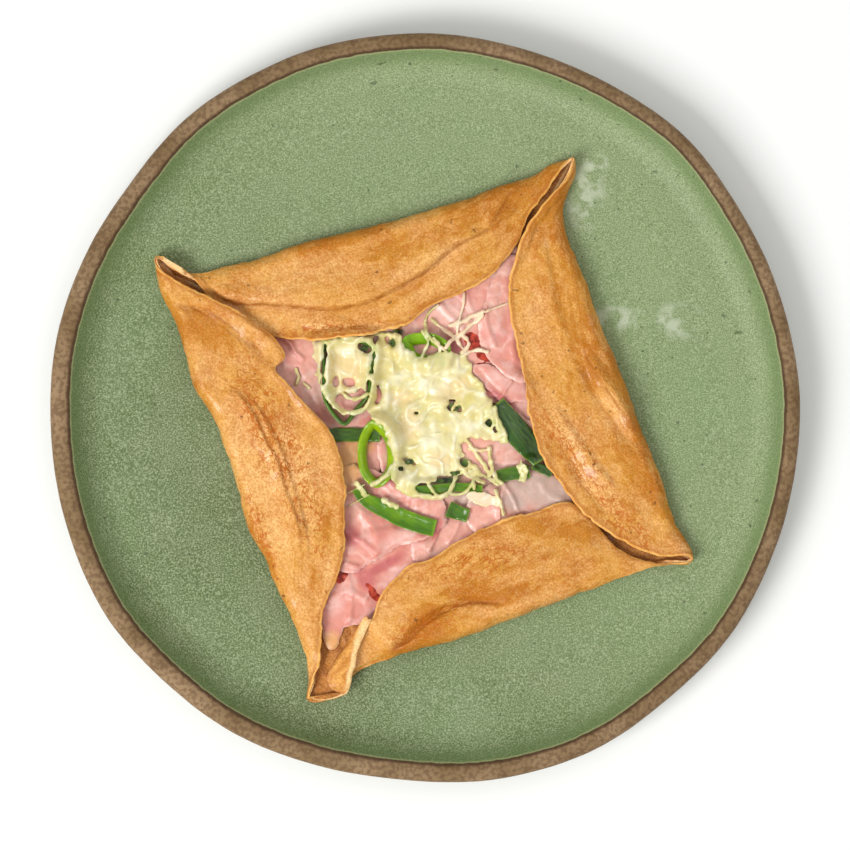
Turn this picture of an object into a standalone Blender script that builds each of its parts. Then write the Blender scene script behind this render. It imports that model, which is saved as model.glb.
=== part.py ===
"""A savory crepe on its stoneware plate: a round galette folded to a square round ham,
leek greens and melted cheese.

Sizes are in millimetres and become metres where a mesh is made. Seen from above, X runs
to the right and Y to the far side. The plate's foot stands on Z = 0, and the origin is
under the middle of the box round its rim.
"""
import math

import bmesh
import bpy
import numpy as np

MM = 0.001
GAP = 0.3                  # air between two pieces that touch

# The plate: a hand-made coupe plate with a raised lip.
RIM_RADIUS = 138.0
RIM_WAVES = ((1, 1.0, 279), (2, 0.3, 133), (3, 0.8, 85), (4, 0.6, 33), (6, 0.4, 49), (9, 0.35, 7))
LIP_WAVES = ((2, 0.35, 60), (5, 0.3, 10))
PLATE_STEPS = 64
WELL_HEIGHT = 6.0
DISH_RADIUS = 118.0        # the well starts to climb to the lip here
DISH_CLIMB = 9.5
DISH_SAG = 1.2             # how much lower the middle is than the well's edge
LIP_INNER = 131.5
LIP_HEIGHT = 17.6
FOOT_RADIUS = 84.0
FOOT_WIDTH = 6.0
FOOT_DEPTH = 2.4
PLATE_WALL = 4.2

# The crepe: a sheet folded in along four sides.
SHEET = 1.7
FOLD_RADIUS = 2.4
CORNER_TIGHTER = 0.8       # how much less the fold's radius is at a corner
CORNER_SHARE = 0.08        # the share of a side over which it tightens
CORNER_STEP = 0.08         # a corner's share of the way round, where a side has 1
SIDE_STATIONS = 20
FLAP_CLIMB = 5.0           # a flap reaches its full height this far in from the fold
CREST_SHARE = 0.75         # a turned-back flap's crest is this far from fold to rim
CREASE_FADE = 20.0         # a flap narrower than this has shallower creases
BASE_SQUARE = ((-52, 26), (29, 46), (52, -28), (-22, -56))
BASE_RINGS = (0.0, 0.6)

# The filling lies on a square grid of points, coarse for ham and halved for cheese.
GRID_HALF = 83.2
HAM_PITCH = 5.2
CHEESE_PITCH = HAM_PITCH / 2
FINE_PITCH = HAM_PITCH / 4
HAM_THICK = 1.0
CHEESE_THICK = 1.6
LEEK_THICK = 0.9


def clear_scene():
    for item in list(bpy.data.objects):
        bpy.data.objects.remove(item, do_unlink=True)


def new_collection(name):
    collection = bpy.data.collections.new(name)
    bpy.context.scene.collection.children.link(collection)
    return collection


def material(name, colour, roughness):
    made = bpy.data.materials.new(name)
    made.use_nodes = True
    shader = made.node_tree.nodes["Principled BSDF"]
    shader.inputs["Base Color"].default_value = (*colour, 1.0)
    shader.inputs["Roughness"].default_value = roughness
    shader.inputs["Metallic"].default_value = 0.0
    return made


def add_object(name, points, faces, finish, collection):
    """A smooth-shaded mesh object from points in millimetres."""
    mesh = bpy.data.meshes.new(name)
    mesh.from_pydata([tuple(float(c) * MM for c in point) for point in points], [], faces)
    mesh.validate()
    mesh.shade_smooth()
    mesh.set_sharp_from_angle(angle=math.radians(50))
    mesh.materials.append(finish)
    made = bpy.data.objects.new(name, mesh)
    collection.objects.link(made)
    return made


def smooth_curve(points, at, knots=None, closed=False, period=None):
    """Places along a smooth curve through the points, at the given knot values."""
    points = np.array(points, float)
    if knots is None:
        steps = np.linalg.norm(np.diff(points, axis=0), axis=1)
        knots = np.concatenate([[0.0], np.cumsum(steps)])
        if closed:
            period = knots[-1] + np.linalg.norm(points[0] - points[-1])
    knots = np.array(knots, float)
    if closed:
        points = np.vstack([points[-2:], points, points[:2]])
        knots = np.concatenate([knots[-2:] - period, knots, knots[:2] + period])
    slopes = np.gradient(points, knots, axis=0)
    at = np.asarray(at, float)
    if closed:
        first = knots[2]
        at = (at - first) % period + first
    index = np.clip(np.searchsorted(knots, at, side="right") - 1, 0, len(knots) - 2)
    width = knots[index + 1] - knots[index]
    u = (at - knots[index]) / width
    u, width = u[:, None], width[:, None]
    a, b = points[index], points[index + 1]
    ma, mb = slopes[index] * width, slopes[index + 1] * width
    return ((2 * u**3 - 3 * u**2 + 1) * a + (u**3 - 2 * u**2 + u) * ma
            + (3 * u**2 - 2 * u**3) * b + (u**3 - u**2) * mb)


def smooth_outline(points, count):
    """A closed smooth outline through a few points."""
    ring = np.vstack([points, points[:1]])
    length = np.linalg.norm(np.diff(ring, axis=0), axis=1).sum()
    return smooth_curve(points, np.arange(count) * length / count, closed=True)


def path_knots(points):
    steps = np.linalg.norm(np.diff(np.array(points, float), axis=0), axis=1)
    return np.concatenate([[0.0], np.cumsum(steps)])


def smooth_path(points, count):
    """An open smooth line through a few points."""
    return smooth_curve(points, np.linspace(0, path_knots(points)[-1], count))


def distance_to_path(x, y, path, closed=False):
    """Distance in plan from each grid point to a line of points."""
    path = np.array(path, float)[:, :2]
    ends = np.roll(path, -1, axis=0) if closed else path[1:]
    starts = path if closed else path[:-1]
    best = np.full(x.shape, np.inf)
    for (ax, ay), (bx, by) in zip(starts, ends):
        dx, dy = bx - ax, by - ay
        along = np.clip(((x - ax) * dx + (y - ay) * dy) / max(dx * dx + dy * dy, 1e-9), 0, 1)
        best = np.minimum(best, np.hypot(x - ax - along * dx, y - ay - along * dy))
    return best


def inside_outline(x, y, outline):
    """True for the grid points inside a closed outline."""
    within = np.zeros(x.shape, bool)
    for (ax, ay), (bx, by) in zip(outline, np.roll(outline, -1, axis=0)):
        crosses = (ay > y) != (by > y)
        side = ax + (y - ay) * (bx - ax) / (by - ay if by != ay else 1e-9)
        within ^= crosses & (x < side)
    return within


def signed_inside(x, y, outline):
    """Distance to the outline, above zero inside it and below zero outside."""
    distance = distance_to_path(x, y, outline, closed=True)
    return np.where(inside_outline(x, y, outline), distance, -distance)


def ease(value):
    value = np.clip(value, 0.0, 1.0)
    return value * value * (3 - 2 * value)


def waves(angle, terms):
    """A sum of waves round a ring: how many, how high, and where the first crest is."""
    return sum(high * np.cos(count * (angle - math.radians(crest))) for count, high, crest in terms)


# The plate.

def plate_top(x, y):
    """Height of the plate's glazed face."""
    radius = np.hypot(x, y)
    dish = DISH_SAG * (np.minimum(radius, DISH_RADIUS) / DISH_RADIUS) ** 3
    climb = DISH_CLIMB * np.clip((radius - DISH_RADIUS) / (LIP_INNER - DISH_RADIUS), 0, 1) ** 2.2
    return WELL_HEIGHT + dish + climb


def plate_profile():
    """Half of the plate's section, from the middle of its face round to the middle below."""
    face_radii = (0.0, 60.0, 100.0, DISH_RADIUS, 125.0, 129.5)
    face = [(radius, float(plate_top(radius, 0.0))) for radius in face_radii]
    lip = [(LIP_INNER, LIP_HEIGHT - 1.2), (LIP_INNER + 2.2, LIP_HEIGHT),
           (RIM_RADIUS - 1.0, LIP_HEIGHT - 1.0), (RIM_RADIUS, LIP_HEIGHT - 4.0)]
    under = [(LIP_INNER, WELL_HEIGHT + 2.4), (DISH_RADIUS, WELL_HEIGHT + DISH_SAG - PLATE_WALL + 0.8),
             (FOOT_RADIUS + 3.0, FOOT_DEPTH)]
    foot = [(FOOT_RADIUS, 0.0), (FOOT_RADIUS - FOOT_WIDTH, 0.0),
            (FOOT_RADIUS - FOOT_WIDTH - 1.5, FOOT_DEPTH), (0.0, FOOT_DEPTH)]
    return face + lip + under + foot


def make_plate(finish, collection):
    profile = bpy.data.meshes.new("plate_profile")
    corners = [(radius * MM, 0.0, height * MM) for radius, height in plate_profile()]
    profile.from_pydata(corners, [(i, i + 1) for i in range(len(corners) - 1)], [])
    turned = bpy.data.objects.new("plate_profile", profile)
    collection.objects.link(turned)
    screw = turned.modifiers.new("turn", "SCREW")
    screw.steps = PLATE_STEPS
    screw.render_steps = PLATE_STEPS
    screw.use_merge_vertices = True
    screw.merge_threshold = 0.0001
    depsgraph = bpy.context.evaluated_depsgraph_get()
    mesh = bpy.data.meshes.new_from_object(turned.evaluated_get(depsgraph))
    bpy.data.objects.remove(turned, do_unlink=True)

    # Push the rim in and out, and up and down, as the potter's hands left it.
    round_about = np.linspace(0, 2 * math.pi, 720)
    edge = RIM_RADIUS + waves(round_about, RIM_WAVES)
    middle_x = (np.max(edge * np.cos(round_about)) + np.min(edge * np.cos(round_about))) / 2
    middle_y = (np.max(edge * np.sin(round_about)) + np.min(edge * np.sin(round_about))) / 2
    for vertex in mesh.vertices:
        x, y = vertex.co.x / MM, vertex.co.y / MM
        radius = math.hypot(x, y)
        share = float(ease((radius - 100.0) / (LIP_INNER - 100.0)))
        angle = math.atan2(y, x)
        grown = (1 + share * waves(angle, RIM_WAVES) / RIM_RADIUS) if radius > 0 else 1
        vertex.co.x = (x * grown - share * middle_x) * MM
        vertex.co.y = (y * grown - share * middle_y) * MM
        vertex.co.z += share * waves(angle, LIP_WAVES) * MM
    mesh.name = "plate"
    mesh.shade_smooth()
    mesh.set_sharp_from_angle(angle=math.radians(50))
    mesh.materials.clear()
    mesh.materials.append(finish)
    made = bpy.data.objects.new("plate", mesh)
    collection.objects.link(made)


# The filling's height map: what the next piece is laid on.

def grid_points(pitch):
    line = np.arange(-GRID_HALF, GRID_HALF + pitch / 2, pitch)
    return np.meshgrid(line, line, indexing="ij")


def spread(heights, reach=1):
    """Each point takes the highest value within reach, so a piece clears what is below."""
    for _ in range(reach):
        padded = np.pad(heights, 1, mode="edge")
        size = heights.shape
        windows = [padded[i:i + size[0], j:j + size[1]] for i in range(3) for j in range(3)]
        heights = np.max(windows, axis=0)
    return heights


def soften(heights):
    """Round off a step upwards, never below the given heights."""
    padded = np.pad(heights, 1, mode="edge")
    size = heights.shape
    mean = sum(padded[i:i + size[0], j:j + size[1]] for i in range(3) for j in range(3)) / 9
    return np.maximum(heights, mean)


def halve_pitch(coarse):
    """The same facets on a grid of half the pitch, each cell split from corner to far corner."""
    rows, columns = coarse.shape
    fine = np.zeros((2 * rows - 1, 2 * columns - 1))
    fine[::2, ::2] = coarse
    fine[1::2, ::2] = (coarse[:-1] + coarse[1:]) / 2
    fine[::2, 1::2] = (coarse[:, :-1] + coarse[:, 1:]) / 2
    fine[1::2, 1::2] = (coarse[:-1, :-1] + coarse[1:, 1:]) / 2
    return fine


def height_at(heights, pitch, x, y):
    """Height of a map at any place."""
    i = (np.asarray(x, float) + GRID_HALF) / pitch
    j = (np.asarray(y, float) + GRID_HALF) / pitch
    i = np.clip(i, 0, heights.shape[0] - 1.001)
    j = np.clip(j, 0, heights.shape[1] - 1.001)
    i0, j0 = i.astype(int), j.astype(int)
    u, v = i - i0, j - j0
    return ((1 - u) * (1 - v) * heights[i0, j0] + u * (1 - v) * heights[i0 + 1, j0]
            + (1 - u) * v * heights[i0, j0 + 1] + u * v * heights[i0 + 1, j0 + 1])


def clip_triangle(corners, depth):
    """The part of a grid triangle where depth is above zero, as vertex keys."""
    kept = []
    for here, there in zip(corners, corners[1:] + corners[:1]):
        if depth[here] > 0:
            kept.append((here, here, 0.0))
        if (depth[here] > 0) != (depth[there] > 0):
            first, second = sorted((here, there))
            share = depth[first] / (depth[first] - depth[second])
            kept.append((first, second, min(max(float(share), 0.15), 0.85)))
    return kept


def largest_piece(faces):
    """The faces of the biggest connected piece."""
    parent = {}

    def root(key):
        while parent.setdefault(key, key) != key:
            parent[key] = parent[parent[key]]
            key = parent[key]
        return key

    for face in faces:
        for key in face[1:]:
            parent[root(key)] = root(face[0])
    groups = {}
    for face in faces:
        groups.setdefault(root(face[0]), []).append(face)
    return max(groups.values(), key=len)


def sheet_solid(name, x, y, depth, bottom, top, finish, collection):
    """A thin closed solid over the grid points where depth is above zero."""
    faces = []
    cuts = {}
    rows, columns = depth.shape
    touched = np.zeros(depth.shape, bool)
    for i in range(rows - 1):
        for j in range(columns - 1):
            if depth[i:i + 2, j:j + 2].max() <= 0:
                continue
            near, right, far, left = (i, j), (i + 1, j), (i + 1, j + 1), (i, j + 1)
            for corners in ([near, right, far], [near, far, left]):
                kept = clip_triangle(corners, depth)
                if len(kept) > 2:
                    faces.append([key[:2] for key in kept])
                    for first, second, share in kept:
                        cuts[first, second] = share
    faces = largest_piece(faces)
    order = {}
    for face in faces:
        for key in face:
            order.setdefault(key, len(order))
            touched[key[0]] = True
            touched[key[1]] = True
    upper, lower = [], []
    for first, second in order:
        share = cuts[first, second]
        place = [field[first] * (1 - share) + field[second] * share for field in (x, y, top, bottom)]
        upper.append(place[:3])
        lower.append(place[:2] + place[3:])
    count = len(order)
    solid = [[order[key] for key in face] for face in faces]
    used = {}
    for face in solid:
        for a, b in zip(face, face[1:] + face[:1]):
            used[a, b] = True
    walls = [[b, a, a + count, b + count] for a, b in used if (b, a) not in used]
    under = [[index + count for index in reversed(face)] for face in solid]
    add_object(name, upper + lower, solid + under + walls, finish, collection)
    return touched


# The outlines of the ham slices, in plan, each with room under the flaps.
HAM = {
    "ham_left": ((-57, 29), (-43, 31), (-26, 30), (-15, 21), (-14, 3), (-20, -15), (-33, -20),
                 (-43, -9), (-54, 3), (-60, 17)),
    "ham_top_right": ((6, 45), (20, 54), (33, 60), (39, 54), (37, 36), (42, 14), (45, -3),
                      (38, -8), (29.5, -0.5), (20, 3), (2, 4), (-9, 21), (-7, 34)),
    "ham_centre": ((-15, -5), (2, 2), (20, 1), (38, -4), (50, -18), (56, -29), (50, -37),
                   (33, -36), (15, -32), (-4, -33), (-16, -23)),
    "ham_lower_lobe": ((-30, -53), (-9, -47), (0, -52), (-4, -62), (-13, -73), (-21, -79),
                       (-28, -82), (-37, -80), (-42, -71), (-38, -60)),
    "ham_lower_middle": ((0, -30), (17, -30), (30, -36), (31, -45), (17, -54), (4, -61),
                         (-4, -56), (-4, -42)),
    "ham_lower_left": ((-31, -22), (-11, -26), (6, -33), (8, -42), (1, -48), (-9, -51),
                       (-18, -56), (-27, -61), (-34, -59), (-38, -47), (-37, -32)),
    "ham_lower_right": ((27, -27), (39, -23), (52, -27), (58, -34), (50, -41), (35, -44),
                        (24, -49), (17, -45), (16, -34)),
    "ham_roll": ((17, 15), (23, 16), (30, 12.5), (39, 7.5), (41, 3), (33, 2), (27, 3), (22, 8)),
    "ham_fold": ((19.5, 27), (23, 18.5), (29.5, 12), (36, 9), (42, 13), (39, 29), (36, 44),
                 (38, 55), (31, 56), (25, 47), (21.5, 37)),
}

# The leek greens: flat strips, and rings that stand on their cut edge.
LEEK_STRIPS = {
    "leek_strip_left": (((-36, -10), (-27, -10), (-17, -10)), 5.2),
    "leek_strip_long": (((-25, -33), (-18.5, -37), (-11, -40), (-4, -42.5), (3.5, -45)), 5.8),
    "leek_strip_short": (((8.5, -36), (12, -38), (16, -40)), 4.8),
    "leek_strip_edge": (((-4, -30.5), (6, -29), (14, -29), (21, -30)), 3.2),
    "leek_strip_right": (((25, -26), (32, -24.5), (38, -24)), 4.8),
    "leek_strip_far": (((40, -22), (43, -23), (46.5, -25)), 3.4),
    "leek_leaf": (((26, 0), (31, -5), (35.5, -11), (40, -19)), 9.0),
}
LEEK_RINGS = {
    "leek_ring_left": (((-36, 24), (-37, 12), (-37, 4.5), (-34, -2), (-29.6, -6), (-25.5, -1),
                        (-21.5, 4), (-20, 15), (-19, 22), (-27, 25)), 3.6),
    "leek_ring_yellow": (((-19, -6), (-22.5, -11), (-23.3, -18), (-21.5, -25), (-18, -28),
                          (-13, -24), (-12, -18), (-14, -10)), 3.4),
    "leek_ring_top": (((-7.5, 25), (-2, 27), (4, 26), (8, 22.5), (7, 18.5), (1, 17), (-5, 19)),
                      3.2),
}
RING_WALL = 1.6
RING_STEPS = 22
STRIP_STEP = 3.5

# The melted cheese: its outline and the openings where the filling shows through.
CHEESE_OUTLINE = (
    (-41, 25), (-42, 17), (-41, 11), (-37, 6), (-31, 4), (-25, 5), (-21, 2), (-19, -4), (-15, -10),
    (-14, -18), (-13, -24), (-20, -27), (-21, -30), (-12, -32.5), (-3, -31), (5, -30), (10, -33),
    (21, -33), (28, -30), (27, -25), (19, -21), (16, -15), (20, -11), (30, -12), (26, -5),
    (24.5, 2), (21, 9), (17, 15), (16, 23), (20, 31), (13, 32), (9, 26), (9, 17), (2, 15),
    (-6, 19), (-9, 26), (-20, 27), (-32, 27))
CHEESE_HOLES = (((-22, 21.5), 2.6), ((10.4, 0.2), 2.1))

# The crepe's outside edge in plan, side by side from the far left corner, then its inner rim.
SIDES = ("far", "right", "near", "left")
OUTSIDE = {
    "far": ((-97.7, 56.1), (-85, 49.5), (-74, 52), (-61, 55), (-46, 60.5), (-31.5, 64), (-13, 68.5),
            (2, 73), (17, 77.5), (28, 82), (39, 85), (47, 90), (52, 91.4)),
    "right": ((55.6, 90), (55.6, 86), (52.5, 79), (51, 73), (52.5, 63), (58.5, 49), (63.5, 34),
              (69.5, 19.5), (75, 5.5), (81.5, -12.5), (87, -26), (92, -42), (98.5, -53)),
    "near": ((97.5, -57.6), (85.5, -58.5), (74.5, -62), (61, -67), (46.5, -72.5), (28, -79.5),
             (13.5, -85), (-7, -90.5), (-16, -93.5), (-25, -97.5), (-28.5, -101.5), (-30.6, -105.2)),
    "left": ((-43.6, -107.6), (-43, -101), (-43.2, -94), (-46, -86), (-50, -75.5), (-54, -68),
             (-59, -56), (-65, -45), (-69, -30), (-73, -17.5), (-79, -2), (-85.5, 8), (-88, 18.5),
             (-92.5, 32.5), (-97.5, 42.5), (-99.4, 51.5)),
}
INSIDE = {
    "far": ((-97.3, 55.6), (-86.5, 49.2), (-81.5, 43), (-74, 35), (-64, 28.5), (-55, 26), (-46, 25),
            (-27, 26), (-15, 28.5), (-5.5, 31.5), (2, 37), (12, 41.5), (22, 47), (29.5, 54),
            (35, 62), (37, 70), (42, 77), (48, 86), (51.6, 90.2)),
    "right": ((54.6, 89.4), (52.6, 83.5), (46.5, 77), (40.5, 70), (36, 63), (33, 54), (30.7, 44),
              (31.5, 33), (34, 21.5), (36.5, 10), (38.5, -4), (43.5, -19), (50.5, -29),
              (57.5, -38), (65, -44), (77.5, -51.5), (87, -54.6), (96.6, -54.4)),
    "near": ((96.4, -56.9), (84, -57), (72, -52.5), (62, -42), (53, -34.5), (43, -37.5), (31, -41),
             (20.5, -45), (9.5, -50.5), (1, -56), (-5.5, -57.5), (-9.5, -61), (-16, -68.5),
             (-19.5, -77.5), (-24, -88), (-26.3, -97), (-29, -105.4)),
    "left": ((-42.4, -106.4), (-39.6, -96.5), (-38, -86), (-37, -73), (-33, -64), (-30, -54.5),
             (-29.5, -39), (-29.5, -27), (-32, -15), (-36, -7), (-45.5, 3), (-52.5, 11),
             (-55, 14.5), (-51.5, 18), (-54.5, 25), (-62, 30.5), (-71.5, 37), (-79, 40.5),
             (-90, 46), (-98.2, 51.4)),
}
# Height of each flap's outside face over the plate: share of the way along, near fold, at rim.
FLAP_HEIGHT = {
    "far": ((0, 5.5, 6), (0.12, 6, 5.6), (0.3, 8.5, 5.8), (0.55, 9.5, 8), (0.8, 9, 8), (0.93, 7.5, 8),
            (1, 7, 7.5)),
    "right": ((0, 7, 7.5), (0.08, 7.5, 8), (0.25, 9, 8.5), (0.5, 9.5, 8.5), (0.75, 9, 8.5),
              (0.92, 7, 7), (1, 5.6, 6)),
    "near": ((0, 5.2, 5.2), (0.1, 5, 4.6), (0.25, 6.5, 5.4), (0.45, 9, 8), (0.7, 9, 8.5), (0.85, 8, 8),
             (1, 5, 4.6)),
    "left": ((0, 4.6, 4.6), (0.12, 7, 7), (0.3, 8.5, 8.5), (0.6, 9.5, 8.5), (0.85, 9, 9.5),
             (0.95, 7, 7.5), (1, 5.5, 6)),
}
# The crest of the near flap's turned-back end, beside the open corner.
LAPEL_START = 0.82
LAPEL_CREST = ((-21.5, -76), (-24.5, -82), (-28.5, -89), (-33.5, -95.5), (-35.6, -100),
               (-34.6, -103.4), (-31, -104.8))
LAPEL_RISE = (2.6, 3.9, 4.4, 4.8, 5.4, 6.0, 6.0)
# A flap's rows of points: share of the way from fold to crest, then from crest to rim.
FLAP_ROWS = ((0.05, 0), (0.18, 0), (0.45, 0), (0.78, 0), (1, 0), (1, 0.4), (1, 1))
OPEN_CORNER_HEIGHT = 2.3
# Long folds in the flaps: the line they follow, how high (below zero: a crease), how wide.
FOLDS = (
    (((-80, 48), (-70, 40), (-54, 37.5), (-34, 36.5), (-20, 39.5), (-4, 46), (10, 58), (20, 64)),
     -1.5, 3.0),
    (((28, 80), (30, 74), (26, 66)), -1.2, 2.5),
    (((-91, 37), (-78, 34.5), (-68, 27), (-60, 19)), -1.2, 3.0),
    (((-67, 3), (-60, -10), (-55, -20), (-50, -35), (-45, -50)), -1.3, 3.0),
    (((57, 19), (61, 8.5), (68, -2), (79, -14)), -1.2, 3.0),
    (((44.5, -4.5), (50, -14), (57, -26)), -1.2, 3.0),
    (((27, -72), (16, -72), (5.5, -75.5), (-6, -85)), -1.2, 3.0),
)


def line_relief(x, y, lines):
    """Height added by long folds and creases."""
    total = np.zeros(np.shape(x))
    for points, height, width in lines:
        path = smooth_path(points, 24)
        total = total + height * np.exp(-(distance_to_path(x, y, path) / width) ** 2)
    return total


def way_round(outlines):
    """Join the four sides' points with the value along the way at which each is reached."""
    points, knots = [], []
    for side, name in enumerate(SIDES):
        along = path_knots(outlines[name])
        points.extend(outlines[name])
        knots.extend(side * (1 + CORNER_STEP) + along / along[-1])
    return np.array(points, float), np.array(knots)


def stations():
    """Values along the way round at which the sheet is cut, more of them at the corners."""
    values, side_of, shares = [], [], []
    for side in range(4):
        start = side * (1 + CORNER_STEP)
        share = np.linspace(0, 1, SIDE_STATIONS)
        share = share * 0.8 + 0.2 * ease(share)
        values.extend(start + share)
        side_of.extend([side] * SIDE_STATIONS)
        shares.extend(share)
        values.append(start + 1 + CORNER_STEP / 2)
        side_of.append(side)
        shares.append(1.0)
    return np.array(values), np.array(side_of), np.array(shares)


def flap_heights(side_of, shares):
    near_fold, at_rim = np.zeros(len(shares)), np.zeros(len(shares))
    for side, name in enumerate(SIDES):
        here = side_of == side
        table = np.array(FLAP_HEIGHT[name])
        near_fold[here] = np.interp(shares[here], table[:, 0], table[:, 1])
        at_rim[here] = np.interp(shares[here], table[:, 0], table[:, 2])
    return near_fold, at_rim


def sheet_rows():
    """The rows of the sheet's outer face, from the middle of its base to its rim."""
    period = 4 * (1 + CORNER_STEP)
    values, side_of, shares = stations()
    outer = smooth_curve(*way_round(OUTSIDE)[:1], values, way_round(OUTSIDE)[1], True, period)
    inner = smooth_curve(*way_round(INSIDE)[:1], values, way_round(INSIDE)[1], True, period)
    forward = np.roll(outer, -1, axis=0) - np.roll(outer, 1, axis=0)
    inward = np.stack([forward[:, 1], -forward[:, 0]], axis=1)
    inward /= np.linalg.norm(inward, axis=1)[:, None]
    corner = np.minimum(shares, 1 - shares)
    near_fold, at_rim = flap_heights(side_of, shares)

    # Where the near flap's end is turned back, its crest lies inside its rim.
    crest = outer + (inner - outer) * CREST_SHARE
    lapel = np.zeros(len(values))
    near = SIDES.index("near")
    rolled = (side_of == near) & (shares > LAPEL_START)
    share = (shares[rolled] - LAPEL_START) / (1 - LAPEL_START)
    crest[rolled] = smooth_curve(LAPEL_CREST, share * path_knots(LAPEL_CREST)[-1])
    lapel[rolled] = np.minimum(1, share * 8) * (1 - ease((share - 0.8) / 0.2))

    open_corner = (side_of == near) & (values > near * (1 + CORNER_STEP) + 1)
    radius = FOLD_RADIUS - CORNER_TIGHTER * (1 - ease(corner / CORNER_SHARE))
    rows = []
    bottom_place = outer + inward * radius[:, None]
    square = np.array(BASE_SQUARE, float)
    ahead = square[(side_of + 1) % 4]
    inset = square[side_of] + (ahead - square[side_of]) * shares[:, None]
    for share in BASE_RINGS:
        place = inset + (bottom_place - inset) * share
        rows.append(np.column_stack([place, plate_top(place[:, 0], place[:, 1]) + GAP]))
    for turn in (0.0, 0.5, 1.0):
        angle = turn * math.pi / 2
        place = outer + inward * (radius * (1 - math.sin(angle)))[:, None]
        lift = radius * (1 - math.cos(angle))
        rows.append(np.column_stack([place, plate_top(place[:, 0], place[:, 1]) + GAP + lift]))
    width = np.linalg.norm(inner - outer, axis=1)
    for (first, second), rise in zip(FLAP_ROWS, LAPEL_RISE):
        place = outer + (crest - outer) * first + (inner - crest) * second
        share = CREST_SHARE * first + (1 - CREST_SHARE) * second
        high = near_fold + (at_rim - near_fold) * ease((share - 0.45) / 0.5)
        high = high + line_relief(place[:, 0], place[:, 1], FOLDS) * ease(width / CREASE_FADE)
        reach = np.clip(width * share / np.clip(width, 0.5, FLAP_CLIMB), 0, 1)
        lift = radius + (high - radius) * np.sqrt(1 - (1 - reach) ** 2)
        base = plate_top(place[:, 0], place[:, 1])
        lift = np.where(open_corner, OPEN_CORNER_HEIGHT * max(share, 0.9), lift)
        lift = lift * (1 - lapel) + rise * lapel
        rows.append(np.column_stack([place, base + lift]))
    thick = np.minimum(SHEET, radius - 0.2)
    return rows, side_of, shares, lapel, outer, inward, thick


def clear_filling(rows, side_of, shares, lapel, pile):
    """Lift each flap over what is under it: the far and near flaps first, then the others."""
    x, y = grid_points(FINE_PITCH)
    first_flap_row = len(BASE_RINGS) + 3
    for pair in (("far", "near"), ("right", "left")):
        below = spread(pile, 2)
        for row in rows[first_flap_row:]:
            for name in pair:
                here = side_of == SIDES.index(name)
                corner = np.minimum(shares[here], 1 - shares[here])
                need = height_at(below, FINE_PITCH, row[here, 0], row[here, 1]) + GAP + SHEET + 0.2
                lifted = np.maximum(row[here, 2], need)
                share = ease((corner - 0.02) / 0.12) * (1 - lapel[here])
                row[here, 2] = row[here, 2] * (1 - share) + lifted * share
        for name in pair:
            here = side_of == SIDES.index(name)
            outline = np.vstack([rows[first_flap_row][here, :2], rows[-1][here, :2][::-1]])
            within = signed_inside(x, y, outline) > 0
            tops = np.full(x.shape, -1.0)
            flap_points = np.vstack([row[here] for row in rows[first_flap_row:]])
            for i, j in np.argwhere(within):
                away = np.hypot(flap_points[:, 0] - x[i, j], flap_points[:, 1] - y[i, j])
                tops[i, j] = flap_points[np.argsort(away)[:3], 2].max()
            pile = np.where(within, np.maximum(pile, tops), pile)
    return rows


def make_crepe(pile, finish, collection):
    rows, side_of, shares, lapel, outer, inward, thick = sheet_rows()
    rows = clear_filling(rows, side_of, shares, lapel, pile)
    centre = np.array([*rows[0][:, :2].mean(axis=0), 0.0])
    centre[2] = plate_top(centre[0], centre[1]) + GAP
    grid = np.stack(rows)

    # The sheet's inner face lies square to the outer one, seen in the section across the fold.
    in_from_edge = np.einsum("rsk,sk->rs", grid[:, :, :2] - outer, inward)
    across = np.stack([np.gradient(in_from_edge, axis=0), np.gradient(grid[:, :, 2], axis=0)], axis=2)
    across /= np.maximum(np.linalg.norm(across, axis=2), 1e-9)[:, :, None]
    across[:len(BASE_RINGS) + 1] = (-1.0, 0.0)
    within = grid.copy()
    within[:, :, :2] += (across[:, :, 1] * thick)[:, :, None] * inward
    within[:, :, 2] -= across[:, :, 0] * thick
    count = grid.shape[1]
    layers = grid.shape[0]
    points = [centre] + list(grid.reshape(-1, 3))
    inner_start = len(points)
    points += [centre + np.array([0, 0, SHEET])] + list(within.reshape(-1, 3))
    faces = []
    for start, flip in ((0, False), (inner_start, True)):
        for k in range(count):
            after = (k + 1) % count
            fan = [start, start + 1 + k, start + 1 + after]
            faces.append(fan if not flip else fan[::-1])
            for row in range(layers - 1):
                a = start + 1 + row * count
                b = a + count
                quad = [a + k, b + k, b + after, a + after]
                faces.append(quad if not flip else quad[::-1])
    last = 1 + (layers - 1) * count
    for k in range(count):
        after = (k + 1) % count
        faces.append([last + k, inner_start + last + k, inner_start + last + after, last + after])
    made = add_object("crepe", points, faces, finish, collection)
    face_outwards(made)


def face_outwards(item):
    work = bmesh.new()
    work.from_mesh(item.data)
    bmesh.ops.recalc_face_normals(work, faces=work.faces)
    if work.calc_volume(signed=True) < 0:
        bmesh.ops.reverse_faces(work, faces=work.faces)
    work.to_mesh(item.data)
    work.free()


def make_ham(finishes, collection):
    """Lay the slices one on another; returns the height of the pile on the coarse grid."""
    x, y = grid_points(HAM_PITCH)
    pile = plate_top(x, y) + GAP + SHEET
    for name, points in HAM.items():
        depth = signed_inside(x, y, smooth_outline(points, 60))
        bottom = soften(pile) + GAP
        top = bottom + HAM_THICK
        touched = sheet_solid(name, x, y, depth, bottom, top, finishes["ham"], collection)
        pile = np.where(touched, top, pile)
    return pile


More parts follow.
